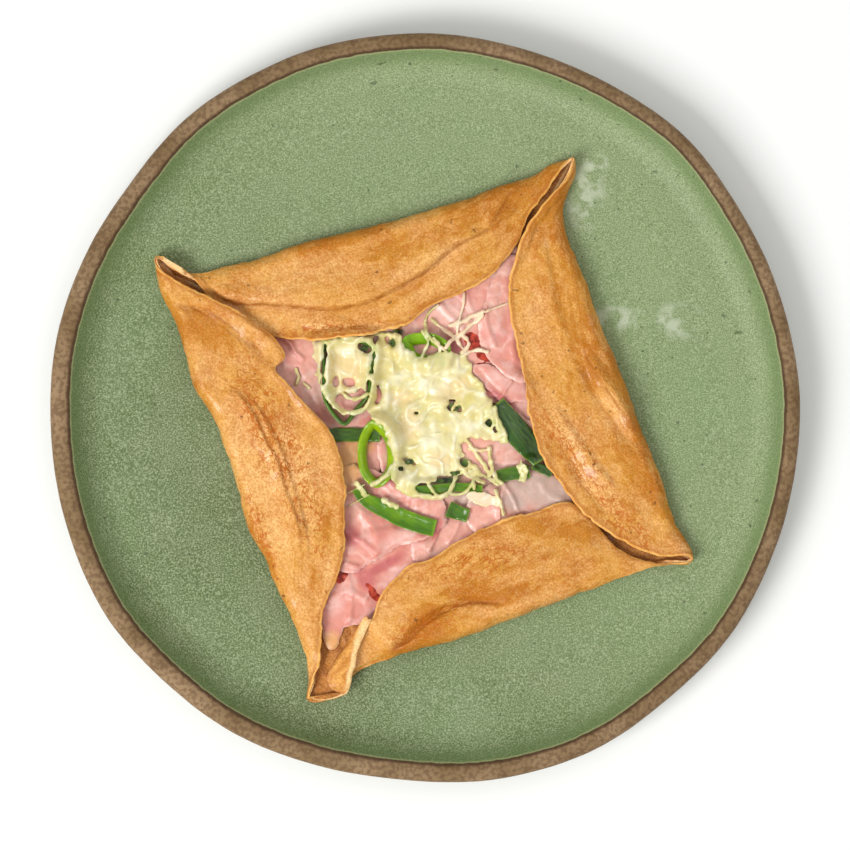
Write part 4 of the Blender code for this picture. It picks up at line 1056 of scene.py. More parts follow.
# Thin see-through pools, then thick white lumps, then where the cheese is warmer in colour.
CHEESE_POOLS = (
    ((22.2, -33.9), 5.9, 2.6, -15), ((18.1, -32.7), 3.3, 1.9, -10))
CHEESE_LUMPS = (
    ((1.9, -12), 5.2, 3.7, 60), ((0, -6.5), 3.7, 3, 0), ((-9.2, 10.2), 5.2, 2.6, 10),
    ((1.9, 8.3), 6.7, 3, -10), ((9.2, 12), 4.4, 2.6, 20), ((-7.4, 21.3), 3.7, 2.2, 0),
    ((-28.5, 21.3), 4.4, 2.2, 0), ((-3.7, -26.1), 5.2, 2.2, 0), ((4.1, -23.1), 4.4, 2.6, 0),
    ((16.6, -6.5), 4.4, 3, 30), ((-14.4, 2.8), 3.7, 2.2, 70), ((-10, -12), 3.7, 2.6, 70),
    ((-19.6, 18.3), 3, 1.9, 0), ((-36.6, 17.6), 1.9, 4.4, 0))
CHEESE_WARM = (
    ((-28.5, 14.6), 6.7, 7.4, 0), ((-9.2, 3.5), 5.2, 3, 0), ((11.1, 7.2), 7.4, 3.7, 30),
    ((5.5, -19.4), 4.4, 3, 0), ((-5.5, -6.5), 3.7, 5.9, 0), ((20.4, -13.9), 5.9, 3, 20))
# Where the cheese has drawn apart over the leek below: each line and half its width.
CHEESE_GAPS = (
    (((-36.6, 22.8), (-36.8, 19.1), (-37.2, 15.4), (-37.4, 9.4)), 0.6),
    (((-18.1, 25.7), (-18.3, 22), (-19.1, 17.6), (-19.4, 13.1)), 0.65),
    (((-20.5, 9.4), (-20.9, 6.5), (-21.8, 3.9)), 0.6),
    (((-17.4, 7.6), (-17, 5), (-17.8, 2)), 0.7),
    (((-14.4, 25.7), (-13.3, 24.2), (-11.5, 23.1)), 0.5),
)


def cheese_finish():
    """Melted cheese: cream where thick, greener and see-through where thin, and very glossy."""
    made, tree, shader, place = new_finish("melted_cheese", {
        "Specular IOR Level": 0.45, "Subsurface Weight": 0.12, "Subsurface Scale": 0.0015,
        "Subsurface Radius": (1.0, 0.8, 0.4)})
    middle = patches(tree, place, 6.0, 0.5, 0.3, 1.5)
    fine = patches(tree, place, 2.0, 0.5, 0.3, 1.0)
    thin = between(tree, attribute(tree, "thick"), 0.5, 1.5, 1.0, 0.0)
    greener = work_out(tree, "MULTIPLY_ADD", thin, 0.3, 0.12)
    broad = patches(tree, place, 14.0, 0.5, 0.15)
    colour = blend(tree, broad, paint(212, 196, 116), paint(226, 210, 146))
    colour = lay_over(tree, colour,
                      (middle, 0.45, (238, 232, 194)),
                      (thin, 0.32, (206, 202, 134)),
                      (attribute(tree, "over_leek"), greener, (150, 176, 84)),
                      (patches(tree, place, 5.0, 0.24, 0.03, 2.0), 0.5, (126, 152, 64)),
                      (attribute(tree, "warm"), 0.6, (236, 206, 156)),
                      (attribute(tree, "over_ham"), 0.9, (244, 216, 184)),
                      (attribute(tree, "lump"), 0.65, (248, 245, 222)))
    dress(tree, shader, colour, fine, 0.15, 0.16)
    bump(tree, shader, work_out(tree, "ADD", middle, times(tree, fine, 0.25)), 0.4, 0.35)
    return made


def cheese_waves(size, seed):
    """Soft random waves over the cheese, about a size in millimetres."""
    return ripple(cheese_x, cheese_y, size, seed)


def cheese_ropes(size, seed, thinness):
    """Wandering ropes, a size apart: 1 along their middle and 0 between them."""
    return ease(1 - np.abs(cheese_waves(size, seed)) * thinness)


cheese_x, cheese_y = grid_points(CHEESE_PITCH)
under = height_at(draped(pile, 2), PITCH, cheese_x, cheese_y)
on_leek = height_at(blur(((pile - before_leek) > 0.3).astype(float), 2), PITCH, cheese_x, cheese_y)
uneven = cheese_waves(5.5, 71) + 0.7 * cheese_waves(2.4, 74)
blanket = signed_inside(cheese_x, cheese_y, smooth_outline(CHEESE_OUTLINE, CHEESE_STEP))
blanket = blanket + 0.9 * uneven
for middle, long_half, short_half, turn in CHEESE_HOLES:
    away = oval(cheese_x, cheese_y, middle, long_half, short_half, -turn)
    blanket = np.minimum(blanket, (away - 1) * short_half + 0.45 * uneven)
for line, half in CHEESE_GAPS:
    away = beside_line(cheese_x, cheese_y, smooth_path(line, CHEESE_STEP))[0]
    blanket = np.minimum(blanket, away - half * (1 + 1.3 * cheese_waves(4.0, 75)))
depth = blanket
for line, half in CHEESE_STRANDS:
    wide = half * (1 + 0.55 * cheese_waves(3.2, len(line)))
    depth = np.maximum(depth, wide - beside_line(cheese_x, cheese_y, smooth_path(line, CHEESE_STEP))[0])
pools = spots(cheese_x, cheese_y, CHEESE_POOLS)
depth = np.maximum(depth, (pools - 0.5) * 1.6 + 0.5 * uneven * (pools > 0.1) - 0.1)
beyond = pools * (blanket < 0)
lumps = spots(cheese_x, cheese_y, CHEESE_LUMPS) * np.clip(0.6 + 0.8 * cheese_waves(6.0, 76), 0, 1)
swell = 1 - (1 - np.clip(depth / 1.3, 0, 1)) ** 2
thick = CHEESE_THICK * (0.12 + 0.88 * np.sqrt(swell))

# Grated threads that only half melted stand up as ropes on the blanket.
roped = np.clip(0.5 + 1.3 * cheese_waves(8.0, 80), 0, 1)
ropes = cheese_ropes(16.0, 77, 7.0) * roped
thin_ropes = cheese_ropes(10.0, 78, 6.0) * (1 - roped)
small_ropes = cheese_ropes(6.0, 79, 4.5)
thick = thick * (0.85 + 0.5 * cheese_waves(9.0, 72) + 0.2 * cheese_waves(4.0, 73))
raised = 0.6 * ropes + 0.34 * thin_ropes + 0.12 * small_ropes + 0.7 * lumps
thick = (thick + raised * ease(depth / 1.6)) * (1 - 0.75 * np.clip(beyond, 0, 1))
top = np.minimum(under + np.maximum(thick, 0.15), CHEESE_TOP)
over_ham = ease((-blanket) / 0.8) * (cheese_x > 5) * (cheese_y > 18)
bottom = np.minimum(under, top - 0.12)
cheese = sheet_piece("cheese_blanket", cheese_x, cheese_y, depth, bottom, top, cheese_finish(), {
    "thick": thick, "lump": np.maximum(lumps, np.maximum(0.9 * ropes, 0.6 * thin_ropes)),
    "over_leek": on_leek, "warm": spots(cheese_x, cheese_y, CHEESE_WARM),
    "over_ham": np.maximum(over_ham, beyond)})
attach(cheese, "root")
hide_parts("cheese")
i = grid_index(grid_x, CHEESE_PITCH, len(top))
j = grid_index(grid_y, CHEESE_PITCH, len(top))
pile = np.maximum(pile, np.where(depth > 0, top, 0)[i, j])


# The crepe. One thin round sheet, browned on a hot plate and folded in along four sides over
# the filling; its cut edge shows pale, and the corners stand a little open.
FOLD_RADIUS = 2.4
CORNER_TIGHTER = 0.8
CORNER_SHARE = 0.08
CORNER_STEP = 0.08
SIDE_STATIONS = 122
CORNER_STATIONS = 7
BASE_ROWS = 6
FOLD_ROWS = 7
RIM_ROWS = 15
FLAP_CLIMB = 5.0           # a flap rises to its full height this near to its fold
CREST_SHARE = 0.75
CREASE_FADE = 20.0         # creases die out where a flap is narrower than this
RAGGED_FROM = 0.06         # the rim is ragged from this share of a side on
# Waves of the rim, of the folded edge and of the flaps' faces: height, size and seed.
RIM_RAGGED = ((0.45, 7.0, 5), (0.3, 2.6, 6))
FOLD_UNEVEN = ((0.35, 8.0, 7), (0.15, 3.0, 8))
FACE_UNEVEN = ((0.35, 16.0, 1), (0.16, 6.0, 2), (0.06, 2.5, 3))
BASE_SQUARE = ((-52, 26), (29, 46), (52, -28), (-22, -56))
SIDES = ("far", "right", "near", "left")
# Outside edge in plan, side by side from the far left corner, then the inner rim.
OUTSIDE = {
    "far": ((-97.7, 56.1), (-92, 52), (-85, 49.5), (-74, 52), (-61, 55), (-46, 60.5), (-31.5, 64),
            (-13, 68.5), (2, 73), (17, 77.5), (28, 82), (39, 85), (47, 90), (52, 91.4)),
    "right": ((55.6, 90), (55.6, 86), (52.5, 79), (51, 73), (52.5, 63), (58.5, 49), (63.5, 34),
              (69.5, 19.5), (75, 5.5), (81.5, -12.5), (87, -26), (92, -42), (98.5, -53)),
    "near": ((97.5, -57.6), (85.5, -58.5), (74.5, -62), (61, -67), (46.5, -72.5), (28, -79.5),
             (13.5, -85), (-7, -90.5), (-16, -93.5), (-25, -97.5), (-28.5, -101.5), (-30.6, -105.2)),
    "left": ((-43.6, -107.6), (-43, -101), (-43.2, -94), (-46, -86), (-50, -75.5), (-54, -68),
             (-59, -56), (-65, -45), (-69, -30), (-73, -17.5), (-79, -2), (-85.5, 8), (-88, 18.5),
             (-92.5, 32.5), (-97.5, 42.5), (-99.4, 51.5)),
}
INSIDE = {
    "far": ((-97.3, 55.6), (-86.5, 49.2), (-81.5, 43), (-74, 35), (-64, 28.5), (-55, 26), (-46, 25),
            (-27, 26), (-15, 28.5), (-5.5, 31.5), (2, 37), (12, 41.5), (22, 47), (29.5, 54),
            (35, 62), (37.4, 69.4), (43, 76.8), (48.8, 85.6), (51.8, 90.2)),
    "right": ((54.4, 89.6), (51.8, 84.2), (45.6, 77.4), (39.8, 70.2), (35.6, 63), (33, 54),
               (30.7, 44),
              (31.5, 33), (34, 21.5), (36.5, 10), (38.5, -4), (43.5, -19), (50.5, -29),
              (57.5, -38), (65, -44), (77.5, -51.5), (87, -54.6), (96.6, -54.4)),
    "near": ((96.4, -56.9), (84, -57), (72, -52.5), (62, -42), (53, -34.5), (43, -37.5), (31, -41),
             (20.5, -45), (9.5, -50.5), (1, -56), (-5.5, -57.5), (-9.5, -61), (-16, -68.5),
             (-19.5, -77.5), (-24, -88), (-26.3, -97), (-29, -105.4)),
    "left": ((-42.4, -106.4), (-39.6, -96.5), (-38, -86), (-37, -73), (-33, -64), (-30, -54.5),
             (-29.5, -39), (-29.5, -27), (-32, -15), (-36, -7), (-45.5, 3), (-52.5, 11),
             (-55, 14.5), (-51.5, 18), (-54.5, 25), (-62, 30.5), (-71.5, 37), (-79, 40.5),
             (-90, 46), (-98.2, 51.4)),
}
# Height of each flap's outside face over the plate: share of the way along, near fold, at rim.
FLAP_HEIGHT = {
    "far": ((0, 5.5, 6), (0.12, 6, 5.6), (0.3, 8.5, 5.8), (0.55, 9.5, 8), (0.8, 9, 8),
             (0.93, 7.5, 8),
            (1, 7, 7.5)),
    "right": ((0, 7, 7.5), (0.08, 7.5, 8), (0.25, 9, 8.5), (0.5, 9.5, 8.5), (0.75, 9, 8.5),
              (0.92, 7, 7), (1, 5.6, 6)),
    "near": ((0, 5.2, 5.2), (0.1, 5, 4.6), (0.25, 6.5, 5.4), (0.45, 9, 8), (0.7, 9, 8.5),
             (0.85, 8, 8), (1, 5, 4.6)),
    "left": ((0, 4.6, 4.6), (0.12, 7, 7), (0.3, 8.5, 8.5), (0.6, 9.5, 8.5), (0.85, 9, 9.5),
             (0.95, 7, 7.5), (1, 5.5, 6)),
}
LAPEL_START = 0.82
LAPEL_CREST = ((-21.5, -76), (-24.5, -82), (-28.5, -89), (-33.5, -95.5), (-35.6, -100),
               (-34.6, -103.4), (-31, -104.8))
LAPEL_RISE = ((0.05, 2.6), (0.18, 3.9), (0.45, 4.4), (0.78, 4.8), (1.0, 5.4), (1.4, 6.0),
               (2.0, 6.0))
OPEN_CORNER_HEIGHT = 2.3
# Folds and creases: their line, height (below zero: a crease), and how far the slope runs on
# the line's left and on its right. A short side is a steep one.
FOLDS = (
    (((-81.4, 47.5), (-77.3, 43.5), (-72.5, 40.5), (-68.1, 39), (-60.3, 38.7), (-53.6, 38.3),
      (-46.2, 37.6), (-38.9, 36.8), (-31.4, 37.2), (-25.5, 38.3), (-20, 39.8), (-14.1, 42.7),
      (-9.2, 45), (-3.7, 48.3), (1.9, 52), (6.3, 56.1), (11.1, 60.1), (16.6, 62.7),
      (21.8, 65.3)), 2.3, 8.0, 0.9),
    (((-72.5, 39.8), (-60.3, 37.9), (-46.2, 36.8), (-31.4, 36.4), (-20, 39), (-9.2, 44.2),
      (1.9, 51.2), (11.1, 59.4), (16.6, 62)), -1.0, 1.0, 2.2),
    (((-46.2, 30.2), (-31.4, 30.2), (-16.6, 33.1), (-3.7, 39.8), (9.2, 50.1),
      (20.4, 58.3)), 0.6, 2.5, 2.5),
    (((34, 82.7), (31.4, 78.3), (29.6, 74.9), (27.8, 72), (25.9, 69.4),
      (24.1, 67.2)), -1.2, 1.0, 0.7),
    (((35.9, 82), (33.3, 76.8), (30.3, 70.9), (26.6, 64.9)), 0.8, 1.8, 1.0),
    (((-91.4, 37.6), (-83.2, 36.4), (-77.7, 34.2), (-72.2, 30.5), (-68.5, 27.6), (-62.9, 23.1),
      (-60.3, 19.4)), -1.8, 0.8, 1.4),
    (((-86.2, 41.3), (-77.3, 38.3), (-68.5, 33.5), (-61, 28.3), (-54.4, 22.8)), 1.3, 1.2, 2.6),
    (((-69.9, 5.7), (-65.9, 1.3), (-61.8, -5.4), (-58.1, -13.9), (-55.1, -18.3), (-53.6, -23.5),
      (-52.2, -28.3), (-50, -34.2), (-47.4, -41.6), (-46.2, -49)), 1.3, 0.95, 3.0),
    (((-64.8, 3.5), (-60.3, -2.4), (-55.9, -10.5), (-52.2, -18.7), (-49.6, -26.8), (-47, -35),
      (-44.8, -43.1), (-43.3, -52)), 0.9, 1.0, 2.2),
    (((-60.3, 16.8), (-56.6, 14.6), (-52.5, 11.3), (-48.8, 6.8), (-45.5, 2.8), (-42.2, -0.6),
      (-39.2, -3.9), (-35.9, -7.2)), 0.9, 0.6, 2.0),
    (((-85.1, 13.9), (-81.4, 2.8), (-76.6, -7.6), (-72.2, -17.6), (-68.5, -28.7)), 0.6, 2.0, 3.5),
    (((56.6, 19.4), (59.2, 13.9), (61, 9.1), (63.6, 4.3), (66.6, -0.2), (69.6, -3.9),
      (72.2, -8.3), (75.1, -11.3), (79.5, -14.2)), -1.4, 1.2, 2.2),
    (((59.2, 20.5), (63.3, 13.1), (67.7, 6.5), (72.2, -0.2), (77.3, -6.8)), 1.9, 2.6, 1.0),
    (((44.4, -4.6), (47, -10.2), (50.7, -15), (53.6, -18.7), (57.4, -25), (61.8, -31.3),
      (67, -37.2)), -1.0, 1.4, 2.0),
    (((35.1, 16.8), (37.4, 9.4), (40.3, 2.8), (44, -3.1), (48.5, -8.3),
      (52.2, -13.9)), 1.2, 1.6, 1.0),
    (((47, 1.3), (52.2, -6.8), (57.4, -14.2), (63.3, -22.4), (70.7, -31.3)), 1.2, 1.4, 3.0),
    (((42.5, 63.5), (44.4, 53.8), (46.2, 42.7), (49.2, 31.6), (52.9, 21.3)), 0.9, 1.4, 3.5),
    (((26.6, -72), (21.5, -71.6), (16.6, -71.6), (10.4, -73.1), (5.5, -75.7), (0, -79.4),
      (-3, -82), (-6.3, -85.7), (-9.2, -87.1), (-12.2, -89.7)), -1.9, 0.7, 1.5),
    (((29.6, -69.7), (20.4, -69), (12.2, -70.1), (5.5, -72.7), (-1.1, -76.4), (-7, -81.6),
      (-12.2, -86)), 0.5, 0.9, 3.5),
    (((64.8, -50.9), (50, -54.9), (35.1, -58.6), (20.4, -63.8), (5.5, -71.2),
      (-5.5, -79.4)), 0.6, 2.5, 4.0),
)
# Where the hot plate browned the crepe most, and where least.
TOAST = (
    ((-84.4, 4.6), 11.1, 4.4, -60), ((-60.3, -54.9), 22.2, 4.4, -66),
    ((16.6, 71.2), 25.9, 8.1, 25), ((-35.1, 62), 22.2, 4.4, 15), ((74, 2.8), 20.4, 3.7, -70),
    ((50, 58.3), 33.3, 8.1, -80), ((24.1, -67.5), 29.6, 5.9, 20), ((50, -45.3), 14.8, 4.4, -10),
    ((-1.9, -86), 14.8, 3.7, 25), ((-38.9, -56.4), 18.5, 3, 80), ((87, -34.2), 25.9, 4.4, -50),
    ((44.4, 53.8), 14.8, 5.2, -80), ((57.4, 21.3), 14.8, 5.2, -65),
    ((-77.7, 26.5), 11.1, 5.2, -30), ((-1.1, -77.1), 9.6, 4.4, 30), ((-1.9, 62), 18.5, 4.4, 20),
    ((-92.5, 32.4), 11.1, 3, -60), ((47, 63.5), 22.2, 9.6, -80), ((54.4, 33.1), 20.4, 7.4, -72))
PALE = (
    ((-64.8, -17.6), 22.2, 7.4, -65), ((-30.3, 29.8), 18.5, 1.5, 0),
    ((1.9, 43.5), 14.8, 2.2, 30), ((-39.6, -50.9), 14.8, 3, -70), ((69.2, 2.8), 8.1, 3.3, -50),
    ((64.8, 2.8), 3.7, 3, -40), ((-46.2, -23.1), 16.6, 5.9, -70), ((1.9, 53.8), 18.5, 3, 25),
    ((61, -23.1), 18.5, 4.4, -60), ((14.8, -73.1), 12.6, 2.6, -10), ((35.1, -62), 14.8, 3, 20),
    ((50, -4.6), 13.3, 3.7, -60), ((-53.6, -49), 11.1, 3.7, -70))
# Where the brown squiggles show most.
LACED = (
    ((-55.1, -12), 35.1, 8.1, -66), ((-44, -34.2), 22.2, 5.9, -75),
    ((-60.3, -45.3), 18.5, 3, -70), ((20.4, -56.4), 18.5, 5.2, 15),
    ((55.5, -17.6), 22.2, 5.9, -52), ((0, -79.4), 14.8, 4.4, 30), ((-35.1, 28.7), 22.2, 3, 5),
    ((72.2, -41.6), 14.8, 5.2, -50))
rise_at, rise_of = np.array(LAPEL_RISE).T


def way_round(outlines):
    """Join the four sides' points with the value along the way at which each is reached."""
    points, knots = [], []
    for side, name in enumerate(SIDES):
        along = path_knots(outlines[name])
        points.extend(outlines[name])
        knots.extend(side * (1 + CORNER_STEP) + along / along[-1])
    return np.array(points, float), np.array(knots)


def stations():
    """Values along the way round at which the sheet is cut."""
    values, side_of, shares = [], [], []
    for side in range(4):
        start = side * (1 + CORNER_STEP)
        share = np.linspace(0, 1, SIDE_STATIONS)
        corner = np.linspace(0, CORNER_STEP, CORNER_STATIONS)[1:-1]
        values.extend(list(start + share) + list(start + 1 + corner))
        side_of.extend([side] * (SIDE_STATIONS + len(corner)))
        shares.extend(list(share) + [1.0] * len(corner))
    return np.array(values), np.array(side_of), np.array(shares)


def steep_relief(x, y, folds):
    """Height added by folds that fall away faster on one side; each dies out at its ends."""
    total = np.zeros(np.shape(x))
    for line, height, to_left, to_right in folds:
        path = smooth_path(line, 2.0)
        away, left = beside_line(x, y, path)
        ends = np.min([np.hypot(x - path[end][0], y - path[end][1]) for end in (0, -1)], axis=0)
        run = np.where(left, to_left, to_right)
        total = total + height * np.exp(-(away / run) ** 2) * ease(0.25 + ends / 9.0)
    return total


def crepe_rows():
    """The rows of the sheet's outer face, from its base round the fold to its rim."""
    period = 4 * (1 + CORNER_STEP)
    values, side_of, shares = stations()
    outer, inner = [smooth_curve(points, values, knots, True, period)
                    for points, knots in (way_round(OUTSIDE), way_round(INSIDE))]
    forward = np.roll(outer, -3, axis=0) - np.roll(outer, 3, axis=0)
    inward = np.stack([forward[:, 1], -forward[:, 0]], axis=1)
    inward /= np.linalg.norm(inward, axis=1)[:, None]
    corner = np.minimum(shares, 1 - shares)
    shows = ease(corner / RAGGED_FROM)
    inner = inner - inward * (ripples(*inner.T, RIM_RAGGED) * shows)[:, None]
    outer = outer + inward * (ripples(*outer.T, FOLD_UNEVEN) * shows)[:, None]
    near_fold, at_rim = np.zeros(len(shares)), np.zeros(len(shares))
    for side, name in enumerate(SIDES):
        here = side_of == side
        heights = np.array(FLAP_HEIGHT[name])
        near_fold[here] = np.interp(shares[here], heights[:, 0], heights[:, 1])
        at_rim[here] = np.interp(shares[here], heights[:, 0], heights[:, 2])

    # Where the near flap's end is turned back, its crest lies inside its rim.
    crest = outer + (inner - outer) * CREST_SHARE
    lapel = np.zeros(len(values))
    near = SIDES.index("near")
    rolled = (side_of == near) & (shares > LAPEL_START)
    share = (shares[rolled] - LAPEL_START) / (1 - LAPEL_START)
    crest[rolled] = smooth_curve(LAPEL_CREST, share * path_knots(LAPEL_CREST)[-1])
    lapel[rolled] = np.minimum(1, share * 8) * (1 - ease((share - 0.8) / 0.2))
    open_corner = (side_of == near) & (values > near * (1 + CORNER_STEP) + 1)
    radius = FOLD_RADIUS - CORNER_TIGHTER * (1 - ease(corner / CORNER_SHARE))

    rows, flap_share = [], []
    bottom_place = outer + inward * radius[:, None]
    square = np.array(BASE_SQUARE, float)
    inset = square[side_of] + (square[(side_of + 1) % 4] - square[side_of]) * shares[:, None]
    for share in np.linspace(0, 1, BASE_ROWS)[:-1]:
        place = inset + (bottom_place - inset) * share
        rows.append(np.column_stack([place, plate_top(*place.T) + GAP]))
        flap_share.append(-1.0)
    for angle in np.linspace(0, math.pi / 2, FOLD_ROWS):
        place = outer + inward * (radius * (1 - math.sin(angle)))[:, None]
        lift = radius * (1 - math.cos(angle))
        rows.append(np.column_stack([place, plate_top(*place.T) + GAP + lift]))
        flap_share.append(0.0)
    width = np.linalg.norm(inner - outer, axis=1)
    climb = np.concatenate([np.linspace(0.012, 0.12, 8), np.linspace(0.14, 1, 42)])
    to_crest = [(share, 0.0) for share in climb]
    to_rim = [(1.0, share) for share in np.linspace(0, 1, RIM_ROWS)[1:]]
    for first, second in to_crest + to_rim:
        place = outer + (crest - outer) * first + (inner - crest) * second
        share = CREST_SHARE * first + (1 - CREST_SHARE) * second
        high = near_fold + (at_rim - near_fold) * ease((share - 0.45) / 0.5)
        high = high + steep_relief(*place.T, FOLDS) * ease(width / CREASE_FADE)
        high = high + ripples(*place.T, FACE_UNEVEN)
        reach = np.clip(width * share / np.clip(width, 0.5, FLAP_CLIMB), 0, 1)
        lift = radius + (high - radius) * np.sqrt(1 - (1 - reach) ** 2)
        lift = np.where(open_corner, OPEN_CORNER_HEIGHT * max(share, 0.9), lift)
        lift = lift * (1 - lapel) + np.interp(first + second, rise_at, rise_of) * lapel
        rows.append(np.column_stack([place, plate_top(*place.T) + lift]))
        flap_share.append(share)
    return np.stack(rows), np.array(flap_share), side_of, shares, lapel, outer, inner, inward, radius


def clear_filling(grid, flap_share, side_of, shares, lapel, pile):
    """Lift each flap over what is under it: the far and near flaps first, then the others."""
    flap_rows = np.argwhere(flap_share > 0).ravel()
    for pair in (("far", "near"), ("right", "left")):
        below = blur(spread(pile, 5), 5)
        for name in pair:
            here = np.argwhere(side_of == SIDES.index(name)).ravel()
            corner = np.minimum(shares[here], 1 - shares[here])
            share = ease((corner - 0.02) / 0.12) * (1 - lapel[here])
            for row in flap_rows:
                place = grid[row, here]
                need = height_at(below, PITCH, place[:, 0], place[:, 1]) + GAP + SHEET + 0.1
                lifted = place[:, 2] + np.log1p(np.exp((need - place[:, 2]) * 3)) / 3
                grid[row, here, 2] = place[:, 2] * (1 - share) + np.maximum(lifted, need) * share
        for name in pair:
            here = np.argwhere(side_of == SIDES.index(name)).ravel()
            points = grid[np.ix_(flap_rows, here)]
            pile = raise_pile(pile, points[..., :2], points[..., 2], 3)
    return grid


def crepe_finish():
    """Browned batter: golden where it met the hot plate and peach between, under a lace of
    thin brown squiggles that run along each flap, with dark specks and a greasy sheen."""
    made, tree, shader, place = new_finish("browned_crepe", {
        "Specular IOR Level": 0.2, "Coat Roughness": 0.16, "Subsurface Weight": 0.05,
        "Subsurface Scale": 0.0012, "Subsurface Radius": (1.0, 0.45, 0.2)})
    along = times(tree, attribute(tree, "along"), 0.62 * MM)
    across = times(tree, attribute(tree, "across"), MM)
    on_flap = {0: along, 1: across, 2: attribute(tree, "flap")}
    flap = put(tree, "ShaderNodeCombineXYZ", on_flap).outputs[0]
    broad = patches(tree, place, 26.0, 0.5, 0.16)
    middle = patches(tree, flap, 6.0, 0.5, 0.14)
    small = patches(tree, flap, 2.4, 0.5, 0.14)
    fine = patches(tree, place, 0.9, 0.5, 0.11)
    pale_grain = patches(tree, place, 0.65, 0.47, 0.11)
    specks = patches(tree, place, 2.2, 0.225, 0.015, 0.5)
    lace = veins(tree, flap, 4.4, 0.17, 0.66)
    small_lace = veins(tree, place, 3.4, 0.2, 0.7)
    lace_shows = work_out(tree, "MULTIPLY_ADD", attribute(tree, "laced"), 0.95, 0.26)
    lace_shows = times(tree, lace_shows, patches(tree, place, 3.6, 0.56))

    # How brown each place is, and the outer face's colours over that.
    brown = work_out(tree, "MULTIPLY_ADD", attribute(tree, "toast"), 0.44, 0.52)
    for mask, change in ((broad, 0.42), (middle, 0.22), (small, 0.3)):
        brown = work_out(tree, "MULTIPLY_ADD", work_out(tree, "SUBTRACT", mask, 0.5), change, brown)
    brown = put(tree, "ShaderNodeClamp", {0: brown}).outputs[0]
    grain_share = work_out(tree, "MULTIPLY_ADD", brown, -0.14, 0.4)
    valley_share = work_out(tree, "MULTIPLY_ADD", small, 0.4, 0.3)
    from_rim = attribute(tree, "from_rim")
    rim = between(tree, from_rim, 0.6, 1.4, 1.0, 0.0)
    behind_rim = times(tree, between(tree, from_rim, 0.9, 1.4),
                       between(tree, from_rim, 1.7, 3.2, 1.0, 0.0))
    ground = blend(tree, brown, paint(243, 188, 122), paint(190, 114, 6))
    ground = lay_over(tree, ground,
                      (fine, 0.52, (176, 98, 22)),
                      (patches(tree, place, 15.0), 0.4, (224, 166, 56)),
                      (pale_grain, grain_share, (248, 200, 132)),
                      (between(tree, brown, 0.75, 1.0), 0.3, (170, 94, 6)),
                      (lace, lace_shows, (188, 100, 24)),
                      (small_lace, times(tree, lace_shows, 0.8), (190, 110, 30)),
                      (specks, 0.6, (84, 48, 16)),
                      # painted shade in the creases, with some browning
                      (attribute(tree, "valley"), valley_share, (142, 74, 18)),
                      (behind_rim, 0.45, (170, 96, 24)))
    edge = work_out(tree, "MAXIMUM", rim, attribute(tree, "turned_edge"))
    edge_colour = blend(tree, small, paint(246, 190, 104), paint(232, 164, 76))
    ground = blend(tree, times(tree, edge, 0.85), ground, edge_colour)

    # The inner face: brown with painted shade in the open corner, lighter with painted light where its
    # end is turned back.
    lapel = attribute(tree, "lapel")
    pocket_shade_colour = blend(tree, middle, paint(204, 134, 62), paint(158, 92, 34))
    lit_lapel_colour = blend(tree, small, paint(232, 166, 82), paint(200, 128, 44))
    cut = times(tree, between(tree, from_rim, 2.0, 3.0, 1.0, 0.0), lapel)
    cut = work_out(tree, "MAXIMUM", rim, cut)
    cut_share = work_out(tree, "MULTIPLY_ADD", fine, -0.3, 0.95)
    inner_colour = lay_over(tree, blend(tree, lapel, pocket_shade_colour, lit_lapel_colour),
                            (fine, 0.35, (160, 90, 26)),
                            (pale_grain, 0.25, (246, 196, 130)),
                            (cut, cut_share, (250, 212, 152)))
    colour = blend(tree, attribute(tree, "inside"), ground, inner_colour)
    dress(tree, shader, colour, small, 0.2, 0.34)
    greasy = patches(tree, place, 9.0, 0.36, 0.08)
    tree.links.new(times(tree, greasy, 0.6), shader.inputs["Coat Weight"])
    lines = times(tree, work_out(tree, "MAXIMUM", lace, small_lace), lace_shows)
    height = work_out(tree, "SUBTRACT", times(tree, fine, 0.5), lines)
    first = bump(tree, shader, height, 0.3, 0.5)
    bump(tree, shader, middle, 0.7, 0.4, under=first)
    return made


grid, flap_share, side_of, shares, lapel, outer, inner, inward, radius = crepe_rows()
grid = clear_filling(grid, flap_share, side_of, shares, lapel, pile)
thick = np.minimum(SHEET, radius - 0.2)
in_from_edge = np.einsum("rsk,sk->rs", grid[:, :, :2] - outer, inward)
across = np.stack([np.gradient(in_from_edge, axis=0), np.gradient(grid[:, :, 2], axis=0)], axis=2)
across /= np.maximum(np.linalg.norm(across, axis=2), 1e-9)[:, :, None]
across[flap_share < 0] = (-1.0, 0.0)
width = np.linalg.norm(inner - outer, axis=1)
from_rim = np.outer(1 - np.clip(flap_share, 0, 1), width)
last_steps = np.linalg.norm(np.diff(grid[-RIM_ROWS - 1:], axis=0), axis=2)
from_rim[-RIM_ROWS:] = np.cumsum(last_steps[::-1], axis=0)[::-1]
from_rim[-1] = 0.0
thin = thick[None, :] * (0.5 + 0.5 * np.sqrt(ease(from_rim / 1.6)))
drop = (thick[None, :] - thin) / 2
skins = []
for offset in (drop, drop + thin):
    skin = grid.copy()
    skin[:, :, :2] += (across[:, :, 1] * offset)[:, :, None] * inward
    skin[:, :, 2] -= across[:, :, 0] * offset
    skins.append(skin)
layers, count = grid.shape[:2]
centre = np.array([*grid[0, :, :2].mean(axis=0), 0.0])
centre[2] = plate_top(centre[0], centre[1]) + GAP
points = np.vstack([centre, skins[0].reshape(-1, 3),
                    centre + (0, 0, SHEET), skins[1].reshape(-1, 3)])
inner_start = 1 + layers * count
faces = []
